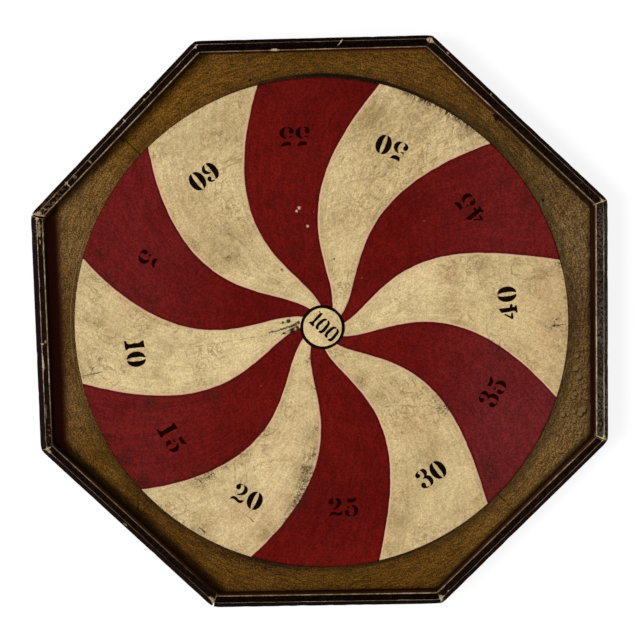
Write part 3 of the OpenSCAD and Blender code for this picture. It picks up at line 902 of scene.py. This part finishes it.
def close_disc(bm, hub_edges, rim_edges, chamfer):
    """Fills the hub, then gives the disc its chamfer, its side and its back."""
    bmesh.ops.contextual_create(bm, geom=hub_edges)
    for wider, lower in ((chamfer, chamfer), (0, target_top - target_foot - chamfer)):
        made = bmesh.ops.extrude_edge_only(bm, edges=rim_edges)["geom"]
        rim_edges = edges_of(made)
        share = 1 + wider / (target_radius - chamfer)
        bmesh.ops.scale(bm, vec=(share, share, 1), verts=verts_of(made))
        bmesh.ops.translate(bm, vec=(0, 0, -lower), verts=verts_of(made))
    bmesh.ops.contextual_create(bm, geom=rim_edges)
    bmesh.ops.recalc_face_normals(bm, faces=bm.faces)


def painted_disc():
    """The whole target as one mesh whose lines follow the blades. Each point knows its place in them."""
    columns, rings = 14, 64
    chamfer = 0.7 * MM
    brush_ring = 150 * MM
    brush_stretch = 0.12
    bm = bmesh.new()
    bmesh.ops.create_grid(bm, x_segments=BLADES * columns, y_segments=rings, size=0.5)
    layer = bm.verts.layers.float.new("blade_edge")
    stroke = bm.verts.layers.float_vector.new("stroke")
    marks = bm.verts.layers.float_vector.new("marks")
    inner, outer = set(), set()
    for vert in bm.verts:
        column = round((vert.co.x + 0.5) * BLADES * columns)
        share = round((vert.co.y + 0.5) * rings) / rings
        if share == 0:
            inner.add(vert)
        if share == 1:
            outer.add(vert)
        number, part = divmod(column, columns)
        part /= columns
        radius, angle, vert[layer] = blade_place(number, part, share)
        unwound = 2 * math.pi * (number + part) / BLADES
        on_ring = (brush_ring * math.cos(unwound), brush_ring * math.sin(unwound))
        vert[stroke] = (*on_ring, brush_stretch * share * target_radius)
        centre = paint_centre * (1 - radius / (target_radius - chamfer))
        vert.co = centre + Vector((radius * math.cos(angle), radius * math.sin(angle), target_top))
        vert[marks] = (cloud(vert.co, specked), cloud(vert.co, stained), 0)
    rings_edges = [[e for e in bm.edges if ring.issuperset(e.verts)] for ring in (inner, outer)]
    bmesh.ops.remove_doubles(bm, verts=bm.verts, dist=WELD)
    hub_edges, rim_edges = ([e for e in edges if e.is_valid] for edges in rings_edges)
    close_disc(bm, hub_edges, rim_edges, chamfer)
    return bm


def crack_opening(along):
    """Half the gap of the glue joint: open from the hub some way to the left."""
    if not -150 * MM < along < -24 * MM:
        return 0.0
    return (0.14 + 0.1 * noise.noise(Vector((along * 60, 0, 0)))) * MM


def target_boards(material):
    """Saws the painted disc along its glue joint into the upper and the lower board."""
    joint_along = turned(joint_angle) @ Vector((1, 0, 0))
    joint_across = turned(joint_angle) @ Vector((0, 1, 0))
    whole = painted_disc()
    for name, side in (("target_board_upper", 1), ("target_board_lower", -1)):
        bm = whole.copy()
        inwards = joint_across * side
        for vert in saw(bm, (0, 0, 0), -inwards)[0]:
            if vert.co.z > target_top - 0.01 * MM:
                vert.co += inwards * crack_opening(vert.co.dot(joint_along))
        bmesh.ops.recalc_face_normals(bm, faces=bm.faces)
        new_piece("painted_" + name, bm, material, [name])
    whole.free()


def mirrored(outline, width):
    """An outline turned left for right within a digit's width."""
    return tuple((width - x, y, *corner) for x, y, *corner in outline)


# Stencil digits, as separate openings about 20 mm high. A point with a third value is a sharp corner, and the
# others lie on smooth curves.
C = 1
half_nought = (
    (7.3, 20.4, C), (3.1, 18.4), (0, 10.2), (3.1, 2.0), (7.3, 0, C), (6.9, 1.8), (6.1, 5), (6.0, 10.2),
    (6.1, 15.4), (6.9, 18.6),
)
DIGITS = {
    "0": (half_nought, mirrored(half_nought, 16)),
    "1": (
        ((1.6, 20.4, C), (9.2, 20.6, C), (8.7, 17), (8.5, 10), (8.6, 3.6), (9.6, 1.8), (9.4, 0, C),
         (0, -0.1, C),
         (0.1, 1.6), (3.2, 3.2), (3.4, 10), (3.2, 16.4), (1.8, 18.2, C)),
    ),
    "2": (
        ((6.9, 19.8, C), (2.9, 19.1), (0.9, 16), (2.9, 13), (5.6, 14.1), (6, 16.6), (5.2, 18.4),
         (6.8, 19, C)),
        ((8.1, 19.9, C), (12.4, 18.6), (14.1, 14.6), (12.4, 10.4), (8.6, 8.2), (4.9, 7.2, C), (5.2, 8.4, C),
         (8.9, 11), (9.8, 14.6), (9.3, 17.6), (8.3, 19, C)),
        ((0, 0.1, C), (0.6, 2.6), (2.8, 4.8), (6, 4.6), (9.4, 3.2), (12, 3.7), (14.4, 5.3, C), (13.6, 1.6),
         (10.8, 0), (7.2, 0.7), (4, 1.8), (1.4, 1)),
    ),
    "3": (
        ((7.4, 21, C), (3.2, 20.2), (1.2, 17.2), (3.2, 14.6), (5.9, 15.4), (6, 17.8), (5.4, 19.4),
         (7.4, 20, C)),
        ((8.8, 21, C), (12.8, 19.8), (14.3, 16.3), (12.4, 12.6), (11.6, 12, C), (13.8, 10.4), (14.8, 6.3),
         (13, 1.6), (8.2, 0, C), (9.4, 2), (10.2, 5.8), (9.2, 9.6), (6.4, 11, C), (6.4, 11.8, C), (8.8, 12.6),
         (9.8, 16.2), (9.5, 18.8)),
        ((6.9, 0.4, C), (2.6, 1.4), (0.3, 4.8), (2.2, 8), (5, 7.2), (5.3, 4.4), (4.6, 2.4), (6.9, 1.4, C)),
    ),
    "4": (
        ((0, 6.4, C), (5.6, 14.2, C), (6.8, 13.2, C), (3.0, 7.4, C), (6.6, 6.8, C), (6.5, 4.9, C),
         (0.6, 4.9, C)),
        ((7.8, 16.6, C), (12.6, 19.5, C), (12.6, 7.2, C), (14.2, 7.4), (16, 5.2), (14.2, 4.2), (12.7, 4.6, C),
         (12.7, 2.4), (14.1, 1.4), (14.1, 0, C), (6.3, 0, C), (6.4, 1.3), (8.0, 2.4), (7.9, 9)),
    ),
    "5": (
        ((4.2, 20, C), (9, 19.4), (15.1, 20.1, C), (12.5, 16.2), (9, 15.2), (4.6, 16.2, C)),
        ((2.9, 14, C), (3.6, 11.6), (6.8, 11, C), (5, 9.9), (2.7, 9.8, C)),
        ((7.8, 12.6, C), (12.2, 11.2), (15.1, 6.4), (12.4, 1.4), (7.6, 0, C), (9.4, 2.4), (10.4, 6.3),
         (9.6, 10)),
        ((5.6, 0.1, C), (1.8, 1.6), (0.2, 4.8), (2.4, 7.8), (5.0, 6.2), (5.0, 4.0), (4.2, 2.6),
         (5.9, 1.2, C)),
    ),
    "6": (
        ((8.0, 19.4, C), (3.2, 18.2), (0, 10.2), (2.6, 2.2), (6.6, 0, C), (6.0, 4.4), (5.9, 10), (6.4, 15.4)),
        ((8.9, 19.7, C), (12.4, 19.2), (15, 16.0), (13.6, 12.9), (10.9, 13.4), (10.6, 15.4), (11.8, 17),
         (9.2, 18.6, C)),
        ((6.9, 10.6, C), (9.4, 10.9), (14.1, 6.2), (11.6, 1.2), (7.5, 0.2, C), (9.3, 2.4), (10.2, 5.6),
         (8.9, 8.8)),
    ),
    "slim 1": (
        ((1.9, 16.4, C), (4.7, 18, C), (5.1, 14), (5.2, 8), (5.4, 3.8), (7.1, 2.0, C), (7.1, 0, C),
         (0.8, 0, C),
         (0.9, 1.6), (2.3, 3.2), (2.1, 9)),
        ((0, 16.5), (0.8, 17.3), (1.6, 16.5), (0.8, 15.6)),
    ),
    "slim 0": (
        ((4.7, 16.7, C), (1.6, 15), (0.1, 9.8), (0.4, 3.6), (2.4, 0.7), (5.1, 0.7, C), (5.1, 2.4, C),
         (3.7, 4),
         (3.4, 9.8), (3.8, 13.6), (5, 15, C)),
        ((6.2, 16.8, C), (9.6, 15.2), (11.2, 9.8), (11.6, 4), (10.3, 0.8), (7.2, -0.1, C), (7.1, 1.7, C),
         (8.2, 3.8), (7.9, 9.8), (7.4, 13.6), (6.1, 15, C)),
    ),
}
# Each number: its angle and distance from the hub, then its digits with left, foot and lean
NUMBERS = {
    "40": (6.2, 201.4, (("4", -16.9, -9.1, 0), ("0", 1.7, -10.5, 0))),
    "45": (37.7, 203, (("4", -17.5, -9.7, 1), ("5", 0.55, -11, 1))),
    "50": (68.0, 206.7, (("5", -17.1, -9.7, 0), ("0", 0.3, -10.5, 0))),
    "55": (96.5, 207.2, (("5", -14.9, -9.1, 2), ("5", 1.7, -11, 2))),
    "60": (126.8, 206.6, (("6", -16, -9.4, 0), ("0", 0, -10.3, 0))),
    "5": (157.2, 202, (("5", -8.3, -10.5, 1.5),)),
    "10": (186.7, 204.8, (("1", -14.1, -10.3, 1), ("0", -1.7, -10.5, 1))),
    "15": (215.0, 203.9, (("1", -15.5, -9.1, 7), ("5", 0.3, -11.3, 1))),
    "20": (245.2, 204.8, (("2", -17.1, -9.4, 0), ("0", 0, -10.8, 0))),
    "25": (275.3, 199.5, (("2", -16, -9.1, 0), ("5", 0.55, -11.4, 0))),
    "30": (305.2, 200, (("3", -16.8, -10.5, 0), ("0", -0.2, -11, 0))),
    "35": (337.7, 198, (("3", -15.5, -9.1, 0), ("5", 0.55, -11.3, 0))),
}
HUB_SCORE = (("slim 1", -15.0, -6.9, 0), ("slim 0", -7.0, -6.7, 0), ("slim 0", 6.2, -6.0, 0))
hub_lean = 46.2
hub_ring = (24.1, 20.8)
film_sunk = 0.05 * MM
film_proud = 0.1 * MM
# The digits and their places are drawn this much over the painted size
drawn_over = 1.0083
# How much larger than the digits' own drawing the numbers are painted
size_on_red = 1.02
size_on_cream = 1.04


def paint_film(name, outlines, place, material):
    """Closed outlines, in mm, laid as a thin film of paint on the target."""
    curve = bpy.data.curves.new(name, "CURVE")
    curve.dimensions = "2D"
    curve.fill_mode = "BOTH"
    curve.extrude = (film_sunk + film_proud) / 2
    curve.resolution_u = 8
    for outline in outlines:
        spline = curve.splines.new("BEZIER")
        spline.bezier_points.add(len(outline) - 1)
        for point, (x, y, *corner) in zip(spline.bezier_points, outline):
            point.co = (x * MM / drawn_over, y * MM / drawn_over, 0)
            point.handle_left_type = point.handle_right_type = "VECTOR" if corner else "AUTO"
        spline.use_cyclic_u = True
    flat = into_scene(name + "_outline", curve)
    bpy.context.view_layer.update()
    drawn = bpy.data.meshes.new_from_object(flat.evaluated_get(bpy.context.evaluated_depsgraph_get()))
    bpy.data.objects.remove(flat)
    bm = bmesh.new()
    bm.from_mesh(drawn)
    bmesh.ops.remove_doubles(bm, verts=bm.verts, dist=WELD)
    bmesh.ops.recalc_face_normals(bm, faces=bm.faces)
    height = target_top + (film_proud - film_sunk) / 2
    bmesh.ops.transform(bm, matrix=Matrix.Translation(UP * height) @ place, verts=bm.verts)
    return new_piece(name, bm, material)


def placed_digits(digits):
    """The outlines of some digits, each with its lower left corner at a place and leaning by some degrees."""
    outlines = []
    for digit, left, foot, lean in digits:
        turn = turned(-lean, 2)
        for outline in DIGITS[digit]:
            corner_foot = Vector((left, foot))
            placed = [(*(corner_foot + turn @ Vector((x, y))), *corner) for x, y, *corner in outline]
            outlines.append(placed)
    return outlines


def numbers(on_cream, on_red):
    """The twelve scores, their tops towards the hub."""
    for name, (angle, distance, digits) in NUMBERS.items():
        middle = paint_centre + turned(angle) @ Vector((distance / drawn_over * MM, 0, 0))
        turn = turned(angle + 90, 4)
        material, size = (on_red, size_on_red) if name.endswith("5") else (on_cream, size_on_cream)
        place = Matrix.Translation(middle) @ turn @ Matrix.Scale(size, 4)
        paint_film("number_" + name, placed_digits(digits), place, material)


def circle_outline(radius, points, wobble):
    """A hand-drawn circle, in mm."""
    outline = []
    for k in range(points):
        angle = 2 * math.pi * k / points
        r = radius + wobble * noise.noise(Vector((2 * math.cos(angle), 2 * math.sin(angle), radius)))
        outline.append((r * math.cos(angle), r * math.sin(angle)))
    return outline


def hub(cream, black):
    """The ringed hub with its score."""
    outer, inner = (circle_outline(radius, 16, 0.5) for radius in hub_ring)
    place = Matrix.Translation(paint_centre)
    paint_film("hub_disc", [inner], place, cream)
    paint_film("hub_ring", [outer, inner], place, black)
    score = paint_film("number_100", placed_digits(HUB_SCORE), place @ turned(-hub_lean, 4), black)
    for vert in score.data.vertices:
        vert.co.z += film_proud


# The eight rim strips, anticlockwise from the top: name, outer chamfer and how much wider the top is in mm,
# how grey the black is, from dust and a painted sheen, then how worn the outer and the inner arris are from
# the anticlockwise end on
RIM_STRIPS = (
    ("rim_top", 3.8, -1.1, 0.0, (0.25, 0.4, 0.15, 0.12, 0.25, 0.15, 0.2, 0.2, 0.2),
     (0.0, 0.55, 0.25, 0.2, 0.5, 0.2, 0.3, 0.45, 0.1)),
    ("rim_top_left", 5.0, -1.0, 0.35, (0.5, 0.4, 0.35, 0.4, 0.5, 0.45, 0.3, 0.4, 0.35),
     (0.3, 0.6, 0.5, 0.5, 0.6, 0.55, 0.55, 0.6, 0.5)),
    ("rim_left", 7.2, 0.7, 0.45, (0.3, 0.5, 0.7, 0.95, 0.8, 0.8, 0.8, 0.85, 0.7),
     (0.1, 0.15, 0.5, 0.65, 0.6, 0.6, 0.6, 0.65, 0.5)),
    ("rim_bottom_left", 6.6, 0.7, 0.3, (0.35, 0.15, 0.05, 0.1, 0.15, 0.2, 0.25, 0.25, 0.35),
     (0.0, 0.03, 0.1, 0.2, 0.25, 0.25, 0.45, 0.3, 0.2)),
    ("rim_bottom", 6.2, 1.0, 0.0, (0.35, 0.45, 0.4, 0.2, 0.7, 0.3, 0.3, 0.3, 0.2),
     (0.5, 0.55, 0.5, 0.4, 0.4, 0.4, 0.45, 0.4, 0.25)),
    ("rim_bottom_right", 5.6, 0.5, 0.35, (0.35, 0.35, 0.35, 0.4, 0.25, 0.35, 0.25, 0.2, 0.5),
     (0.2, 0.25, 0.45, 0.2, 0.3, 0.4, 0.2, 0.35, 0.3)),
    ("rim_right", 4.8, 0.1, 1.0, (0.2, 0.7, 1.0, 0.4, 0.5, 0.7, 1.5, 1.2, 1.1),
     (0.45, 0.6, 0.65, 0.65, 0.8, 0.9, 1.0, 0.9, 0.55)),
    ("rim_top_right", 4.2, -0.4, 0.35, (0.3, 0.45, 0.25, 0.35, 0.25, 0.3, 0.3, 0.2, 0.3),
     (0.05, 0.7, 0.8, 0.35, 0.25, 0.25, 0.3, 0.45, 0.2)),
)
# The two ends of each strip, anticlockwise and clockwise: how far the top leans out there in mm, the bare
# patch at the tip in mm, the bare edge along the mitre, and heavy wear
STRIP_ENDS = (
    ((-0.5, 2.5, 0.2, 0), (-0.1, 4.2, 0.3, 0)),
    ((0.7, 7.5, 2.0, 1), (-1.0, 5.0, 0.2, 0)),
    ((0, 1.5, 0.0, 0.15), (0, 5.0, 0.8, 0.5)),
    ((-2.1, 7.0, 0.8, 0), (0.1, 8.0, 0.5, 0)),
    ((-0.5, 1.5, 0.2, 0), (-1.1, 1.5, 0.2, 0)),
    ((1.9, 2.5, 0.5, 0), (-1.6, 7.0, 0.5, 0)),
    ((0, 0.5, 0.0, 0), (0, 7.5, 1.6, 0)),
    ((-2.8, 5.8, 0.3, 0), (2.4, 5.0, 1.6, 0.1)),
)
# How far the mitre after each strip has opened, in mm: at the top, outside and inside, and at the foot
OPEN_MITRES = (
    (1.0, 0.5, 0.3), (2.7, 2.2, 0.2), (0.9, 0.7, 0.2), (2.4, 0.4, 2.4), (0.8, 0.5, 0.4), (1.4, 1.1, 0.8),
    (0.4, 0.2, 0.2), (1.5, 0.3, 0.3),
)
# Bare marks on the strips' tops: strip, place from the anticlockwise end as a share, depth in from the outer
# face, half length and half width in mm, strength
RIM_MARKS = (
    (0, 0.336, 12.1, 4.8, 1.3, 1.0), (7, 0.089, 4.6, 1.4, 1.1, 0.7), (7, 0.334, 4.4, 1.1, 0.9, 0.5),
    (3, 0.52, 4.0, 2.4, 1.1, 0.45), (2, 0.17, 8.8, 7.0, 1.2, 0.2), (2, 0.37, 7.8, 9.0, 1.1, 0.8),
    (2, 0.458, 8.2, 1.2, 2.4, 0.9), (2, 0.466, 11.4, 1.8, 1.2, 0.8), (2, 0.935, 9.8, 7.0, 1.2, 0.5),
    (2, 0.89, 10.2, 2.6, 1.0, 0.5), (1, 0.206, 7.5, 0.8, 5.0, 0.7), (1, 0.206, 5.2, 2.6, 1.2, 0.9),
    (1, 0.34, 8.0, 0.9, 2.6, 0.45), (1, 0.25, 7.0, 1.6, 2.4, 0.25), (1, 0.515, 4.8, 3.0, 0.7, 0.7),
    (1, 0.563, 4.8, 0.8, 2.0, 0.75), (1, 0.682, 4.6, 1.5, 0.7, 0.6), (1, 0.724, 4.6, 0.8, 1.6, 0.6),
    (6, 0.86, 2.2, 1.0, 1.4, 0.5), (5, 0.94, 8.0, 1.2, 0.8, 0.4),
)
# A scratch on the top strip, in mm: from, to and width
rim_scratch = ((23.9, 295.4), (29.0, 301.6), 0.9)


def level_at(levels, share):
    """The value at a share of the way through some evenly spaced levels."""
    place = max(0.0, min(share, 1.0)) * (len(levels) - 1)
    k = min(int(place), len(levels) - 2)
    return levels[k] + (levels[k + 1] - levels[k]) * (place - k)


def along_share(x):
    """A place along a strip as a share of its outer length, from the anticlockwise end."""
    return 0.5 + x / rim_side


def lean(side, x, height):
    """How far a strip has moved outwards at a place along it, from nothing at its foot to all at its top."""
    (at_left, *_), (at_right, *_) = STRIP_ENDS[side]
    return (at_left + (at_right - at_left) * along_share(x)) * MM * height


def strip_line(side, inner, height):
    """Two points of a strip's long line, on its outer or inner face, at its foot (0) or its top (1)."""
    turn = turned(45 * side)
    z = rim_foot + (rim_top - rim_foot) * height
    depth = (rim_width + RIM_STRIPS[side][2] * MM * height) * inner
    return [turn @ Vector((x, rim_outer - depth + lean(side, x, height), z)) for x in (-0.1, 0.1)]


def mitre_plane(corner, opened_from):
    """A point and a direction of the cut at a corner, moved back along one of its strips by half the gap."""
    ahead = 1 if opened_from == corner else -1
    back_along = turned(45 * opened_from) @ Vector((ahead, 0, 0))

    def meeting(inner, height):
        lines = strip_line(corner, inner, height) + strip_line((corner + 1) % 8, inner, height)
        opening = OPEN_MITRES[corner][inner if height else 2] / 2 * MM
        return geometry.intersect_line_line(*lines)[0] + back_along * opening

    top = meeting(0, 1)
    return top, (meeting(1, 1) - top).cross(meeting(0, 0) - top).normalized()


def rise_of(z):
    """How far up the rim a height is, from 0 at its foot to 1 at its top."""
    return (z - rim_foot) / (rim_top - rim_foot)


def strip_blank(chamfer, eased):
    """A straight strip at the board's top side, its upper edges bevelled, cut across into slices."""
    spare = 12 * MM
    slices = 90
    near = 0.01 * MM
    height = rim_top - rim_foot
    length = rim_side + spare
    bm = bmesh.new()
    bmesh.ops.create_cube(bm, size=1)
    bmesh.ops.scale(bm, vec=(length, rim_width, height), verts=bm.verts)
    bmesh.ops.translate(bm, vec=(0, rim_outer - rim_width / 2, rim_foot + height / 2), verts=bm.verts)

    def long_edges():
        return [e for e in bm.edges if abs(e.verts[0].co.x - e.verts[1].co.x) > length / 2]

    for y, offset, steps in ((rim_outer, chamfer, 1), (rim_inner, eased, 2)):
        sharp = [e for e in long_edges() if math.dist(e.verts[0].co.yz, (y, rim_top)) < near]
        bmesh.ops.bevel(
            bm, geom=sharp, offset=offset, segments=steps, profile=0.5, affect="EDGES", material=-1
        )
    bmesh.ops.subdivide_edges(bm, edges=long_edges(), cuts=slices, use_grid_fill=True)
    return bm


def lean_strip(bm, side, wide):
    """Moves the strip's top outwards, and its inner wall to the strip's own width."""
    inner_part = rim_inner + 1.5 * MM
    for vert in bm.verts:
        up = rise_of(vert.co.z)
        if vert.co.y < inner_part:
            vert.co.y -= wide * up
        vert.co.y += lean(side, vert.co.x, up)


def mitre_strip(bm, side):
    """Turns the strip to its side of the board and saws its ends. Gives back the two saw cuts."""
    turn = turned(45 * side)
    bmesh.ops.rotate(bm, cent=(0, 0, 0), matrix=turn, verts=bm.verts)
    middle = turn @ Vector((0, rim_outer, rim_top))
    cuts = []
    for corner in (side, (side - 1) % 8):
        point, outwards = mitre_plane(corner, side)
        if outwards.dot(middle - point) > 0:
            outwards = -outwards
        cuts.append((point, outwards))
        for face in saw(bm, point, outwards)[1]:
            face.material_index = 1
    return cuts


def wear_strip(bm, side, chamfer, eased, wide, cuts):
    """Nicks the arrises and mitres, and tells the paint how far each point is from them and their wear."""
    _, _, _, grey, outer_levels, inner_levels = RIM_STRIPS[side]
    left_end, right_end = STRIP_ENDS[side]
    worn_band = 1.2 * MM
    layers = [bm.verts.layers.float_vector.new(kind) for kind in ("arris", "strip", "wear", "ends")]
    turn = turned(45 * side)
    back = turn.inverted()
    for vert in bm.verts:
        co = back @ vert.co
        up = rise_of(co.z)
        inwards, below = rim_outer + lean(side, co.x, up) - co.y, rim_top - co.z
        mitre = min((point - vert.co).dot(outwards) for point, outwards in cuts)
        inner_arris = rim_width + wide * up - eased / 2
        from_outer = math.hypot(inwards - chamfer, below)
        from_inner = math.hypot(inwards - inner_arris, below - eased / 2)
        from_low = math.hypot(inwards, below - chamfer)
        share = along_share(co.x)
        _, patch, cut_edge, heavy = left_end if co.x < 0 else right_end
        values = (
            (from_outer, max(0.0, from_inner - eased / 2), from_low),
            (mitre, below, 0),
            (level_at(outer_levels, share), level_at(inner_levels, share), grey),
            (patch * MM, cut_edge, heavy),
        )
        for layer, value in zip(layers, values):
            vert[layer] = value
        if min(from_outer, from_inner, from_low) < worn_band:
            rough = noise.noise(Vector((co.x * 90, side * 7.3, from_outer * 200)))
            nick = max(0.0, rough - 0.1) * 0.9 * MM + 0.12 * MM * (1 + noise.noise(co * 400))
            worn_corner = max(0.0, 1 - mitre / (5 * MM)) * 0.8 * MM
            co.z -= nick + worn_corner
            co.y += 0.4 * nick if from_inner < worn_band else -0.6 * nick - 0.7 * worn_corner
            vert.co = turn @ co


def rim_strip(side, material, end_material):
    """A bevelled strip with nicked arrises, mitred at both ends and opened a little there."""
    name, chamfer, wide, *_ = RIM_STRIPS[side]
    chamfer *= MM
    wide *= MM
    eased = 0.9 * MM
    bm = strip_blank(chamfer, eased)
    lean_strip(bm, side, wide)
    cuts = mitre_strip(bm, side)
    wear_strip(bm, side, chamfer, eased, wide, cuts)
    bmesh.ops.recalc_face_normals(bm, faces=bm.faces)
    piece = new_piece("worn_" + name, bm, material, [name])
    piece.data.materials.append(end_material)
    return piece


def merged_copy(node):
    """The node's mesh with its loose triangles joined up into whole faces."""
    bm = bmesh.new()
    bm.from_mesh(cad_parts[node].data)
    bmesh.ops.remove_doubles(bm, verts=bm.verts, dist=0.005 * MM)
    bmesh.ops.dissolve_limit(
        bm, angle_limit=math.radians(1), use_dissolve_boundaries=False, verts=bm.verts, edges=bm.edges
    )
    return bm


# Opening of the field's four mitre joints, in mm, at the target and at the rim, by their angle
FIELD_MITRES = {45: (0.0, 0.0), 135: (0.9, 1.1), 225: (0.6, 0.5), 315: (0.8, 0.5)}
# The field's boards run on under the rim's leaning strips by this much
field_under_rim = 1.2 * MM


def surround_board(node, material):
    """A board of the field, its mitred ends opened a little by age."""
    bm = merged_copy(node)
    for vert in bm.verts:
        angle = math.degrees(math.atan2(vert.co.y, vert.co.x)) % 360
        for mitre, (near, far) in FIELD_MITRES.items():
            if abs(angle - mitre) < 0.01:
                share = (vert.co.xy.length - target_radius) / (rim_inner - target_radius)
                outwards = turned(mitre, 2) @ Vector((0, 1))
                middle = sum((v.co.xy for v in bm.verts), Vector((0, 0)))
                away = 1 if outwards.dot(middle) > 0 else -1
                shift = outwards * away * (near + (far - near) * min(1.0, share)) / 2 * MM
                vert.co.x += shift.x
                vert.co.y += shift.y
                break
        if (turned(-45 * round(angle / 45), 2) @ vert.co.xy).x > rim_inner - 0.5 * MM:
            share = 1 + field_under_rim / rim_inner
            vert.co.x *= share
            vert.co.y *= share
    return new_piece("painted_" + node, bm, material, [node])


def eased_board(node, material, width):
    """A plain board with its long sharp edges taken off."""
    bm = merged_copy(node)
    sharp = [
        e for e in bm.edges
        if len(e.link_faces) == 2 and e.calc_length() > 12 * MM and e.calc_face_angle() > math.radians(25)
    ]
    bmesh.ops.bevel(
        bm, geom=sharp, offset=width, segments=2, profile=0.5, affect="EDGES", material=-1, clamp_overlap=True
    )
    return new_piece("bare_" + node, bm, material, [node])


def dress_node(node, material):
    """A CAD node that stays, with a better finish."""
    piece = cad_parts[node]
    if piece.material_slots:
        piece.material_slots[0].material = material
    else:
        piece.data.materials.append(material)


def floor(reach, grey, glow_level, glow_share):
    """A plain pale floor that fills the view and keeps the board's shadow."""
    bm = bmesh.new()
    bmesh.ops.create_grid(bm, x_segments=1, y_segments=1, size=reach)
    f = Finish("pale_floor")
    f.colour = (grey, grey, grey, 1)
    f.done(1.0, specular=0.0)
    glow = f.add("Emission")
    glow.inputs["Strength"].default_value = glow_level
    blend = f.add("MixShader")
    seen = f.times(f.add("LightPath").outputs["Is Camera Ray"], glow_share)
    for socket, value in zip(blend.inputs, (seen, f.shader.outputs[0], glow.outputs[0])):
        f.feed(socket, value)
    f.feed(f.tree.nodes["Material Output"].inputs["Surface"], blend.outputs[0])
    plane = finished("floor", bm, f.material)


def world_light(level):
    """An even dome. Cameras and gloss see it white at the horizon and dim overhead, like a tent."""
    world = bpy.data.worlds.new("studio")
    sky = Nodes(world)
    tent = sky.add("MapRange")
    upwards = sky.split(sky.add("TexCoord").outputs["Generated"])[2]
    heights = (("Value", upwards), ("From Min", 0.25), ("From Max", 0.9), ("To Min", 1.0), ("To Max", 0.25))
    for name, value in heights:
        sky.feed(tent.inputs[name], value)
    rays = sky.add("LightPath").outputs
    seen = sky.highest(rays["Is Camera Ray"], rays["Is Glossy Ray"], rays["Is Transmission Ray"])
    strength = sky.add("Mix")
    for name, value in (("Factor", seen), ("A", level), ("B", tent.outputs[0])):
        sky.feed(strength.inputs[name], value)
    background = sky.tree.nodes["Background"].inputs
    background["Color"].default_value = (1, 1, 1, 1)
    sky.feed(background["Strength"], strength.outputs["Result"])
    bpy.context.scene.world = world


def key_light(azimuth, elevation, strength, width):
    """A soft lamp far off to the left, angles in degrees."""
    lamp = bpy.data.lights.new("key", "SUN")
    lamp.energy = strength
    lamp.angle = math.radians(width)
    holder = into_scene("key", lamp)
    around, up = math.radians(azimuth), math.radians(elevation)
    from_board = Vector((math.cos(around) * math.cos(up), math.sin(around) * math.cos(up), math.sin(up)))
    holder.rotation_mode = "QUATERNION"
    holder.rotation_quaternion = from_board.to_track_quat("Z", "Y")


def camera(place, aim, roll, lens):
    """Looks down on the board, with the board's +Y up in the picture."""
    cam = bpy.data.cameras.new("camera")
    cam.lens = lens
    cam.sensor_width = 36
    back = (place - aim).normalized()
    right = Vector((0, 1, 0)).cross(back).normalized()
    axes = Matrix((right, back.cross(right), back)).transposed() @ turned(roll)
    holder = into_scene("camera", cam)
    holder.matrix_world = Matrix.Translation(place) @ axes.to_4x4()
    bpy.context.scene.camera = holder


def build():
    """Dresses the whole board."""
    target_boards(target_paint())
    on_cream = stencil_paint("stencil_black_on_cream", (150, 126, 84), 0.05)
    on_red = stencil_paint("stencil_black_on_red", (98, 16, 13), 0.4)
    numbers(on_cream, on_red)
    hub(hub_paint(), on_cream)
    black, sawn = rim_paint(), end_grain()
    for side in range(8):
        rim_strip(side, black, sawn)
    mustard = field_paint()
    for node in ("surround_top", "surround_left", "surround_bottom", "surround_right"):
        surround_board(node, mustard)
    plank_pine = pine("plank_pine", along_x=False)
    for node in ("back_plank_left", "back_plank_middle", "back_plank_right"):
        eased_board(node, plank_pine, 0.5 * MM)
    cleat_pine = pine("cleat_pine", along_x=True, tint=0.9)
    for node in ("cleat_upper", "cleat_lower"):
        eased_board(node, cleat_pine, 1.0 * MM)
    brads = painted_heads(
        "painted_brads", (92, 64, 26), (58, 54, 50),
        lambda f: f.rise(f.z, field_top - 0.4 * MM, field_top),
    )
    dress_node("surround_brads", brads)
    nails = painted_heads(
        "painted_rim_nails", (22, 16, 13), (58, 54, 50),
        lambda f: f.rise(octagon_reach(f), rim_outer - 0.4 * MM, rim_outer),
    )
    dress_node("rim_nails", nails)
    screws = old_metal("dull_steel", (150, 146, 138), 0.35)
    dress_node("target_screws", screws)
    dress_node("cleat_screws", screws)


build()
floor(reach=6, grey=0.95, glow_level=1.05, glow_share=0.8)
world_light(level=0.5)
key_light(azimuth=182, elevation=59, strength=1.85, width=18)
camera(place=Vector((0.0275, 0.2064, 1.7548)), aim=Vector((-0.0009, 0.0069, 0.036)), roll=-1.3, lens=90.75)
bpy.context.scene.view_settings.view_transform = "Standard"
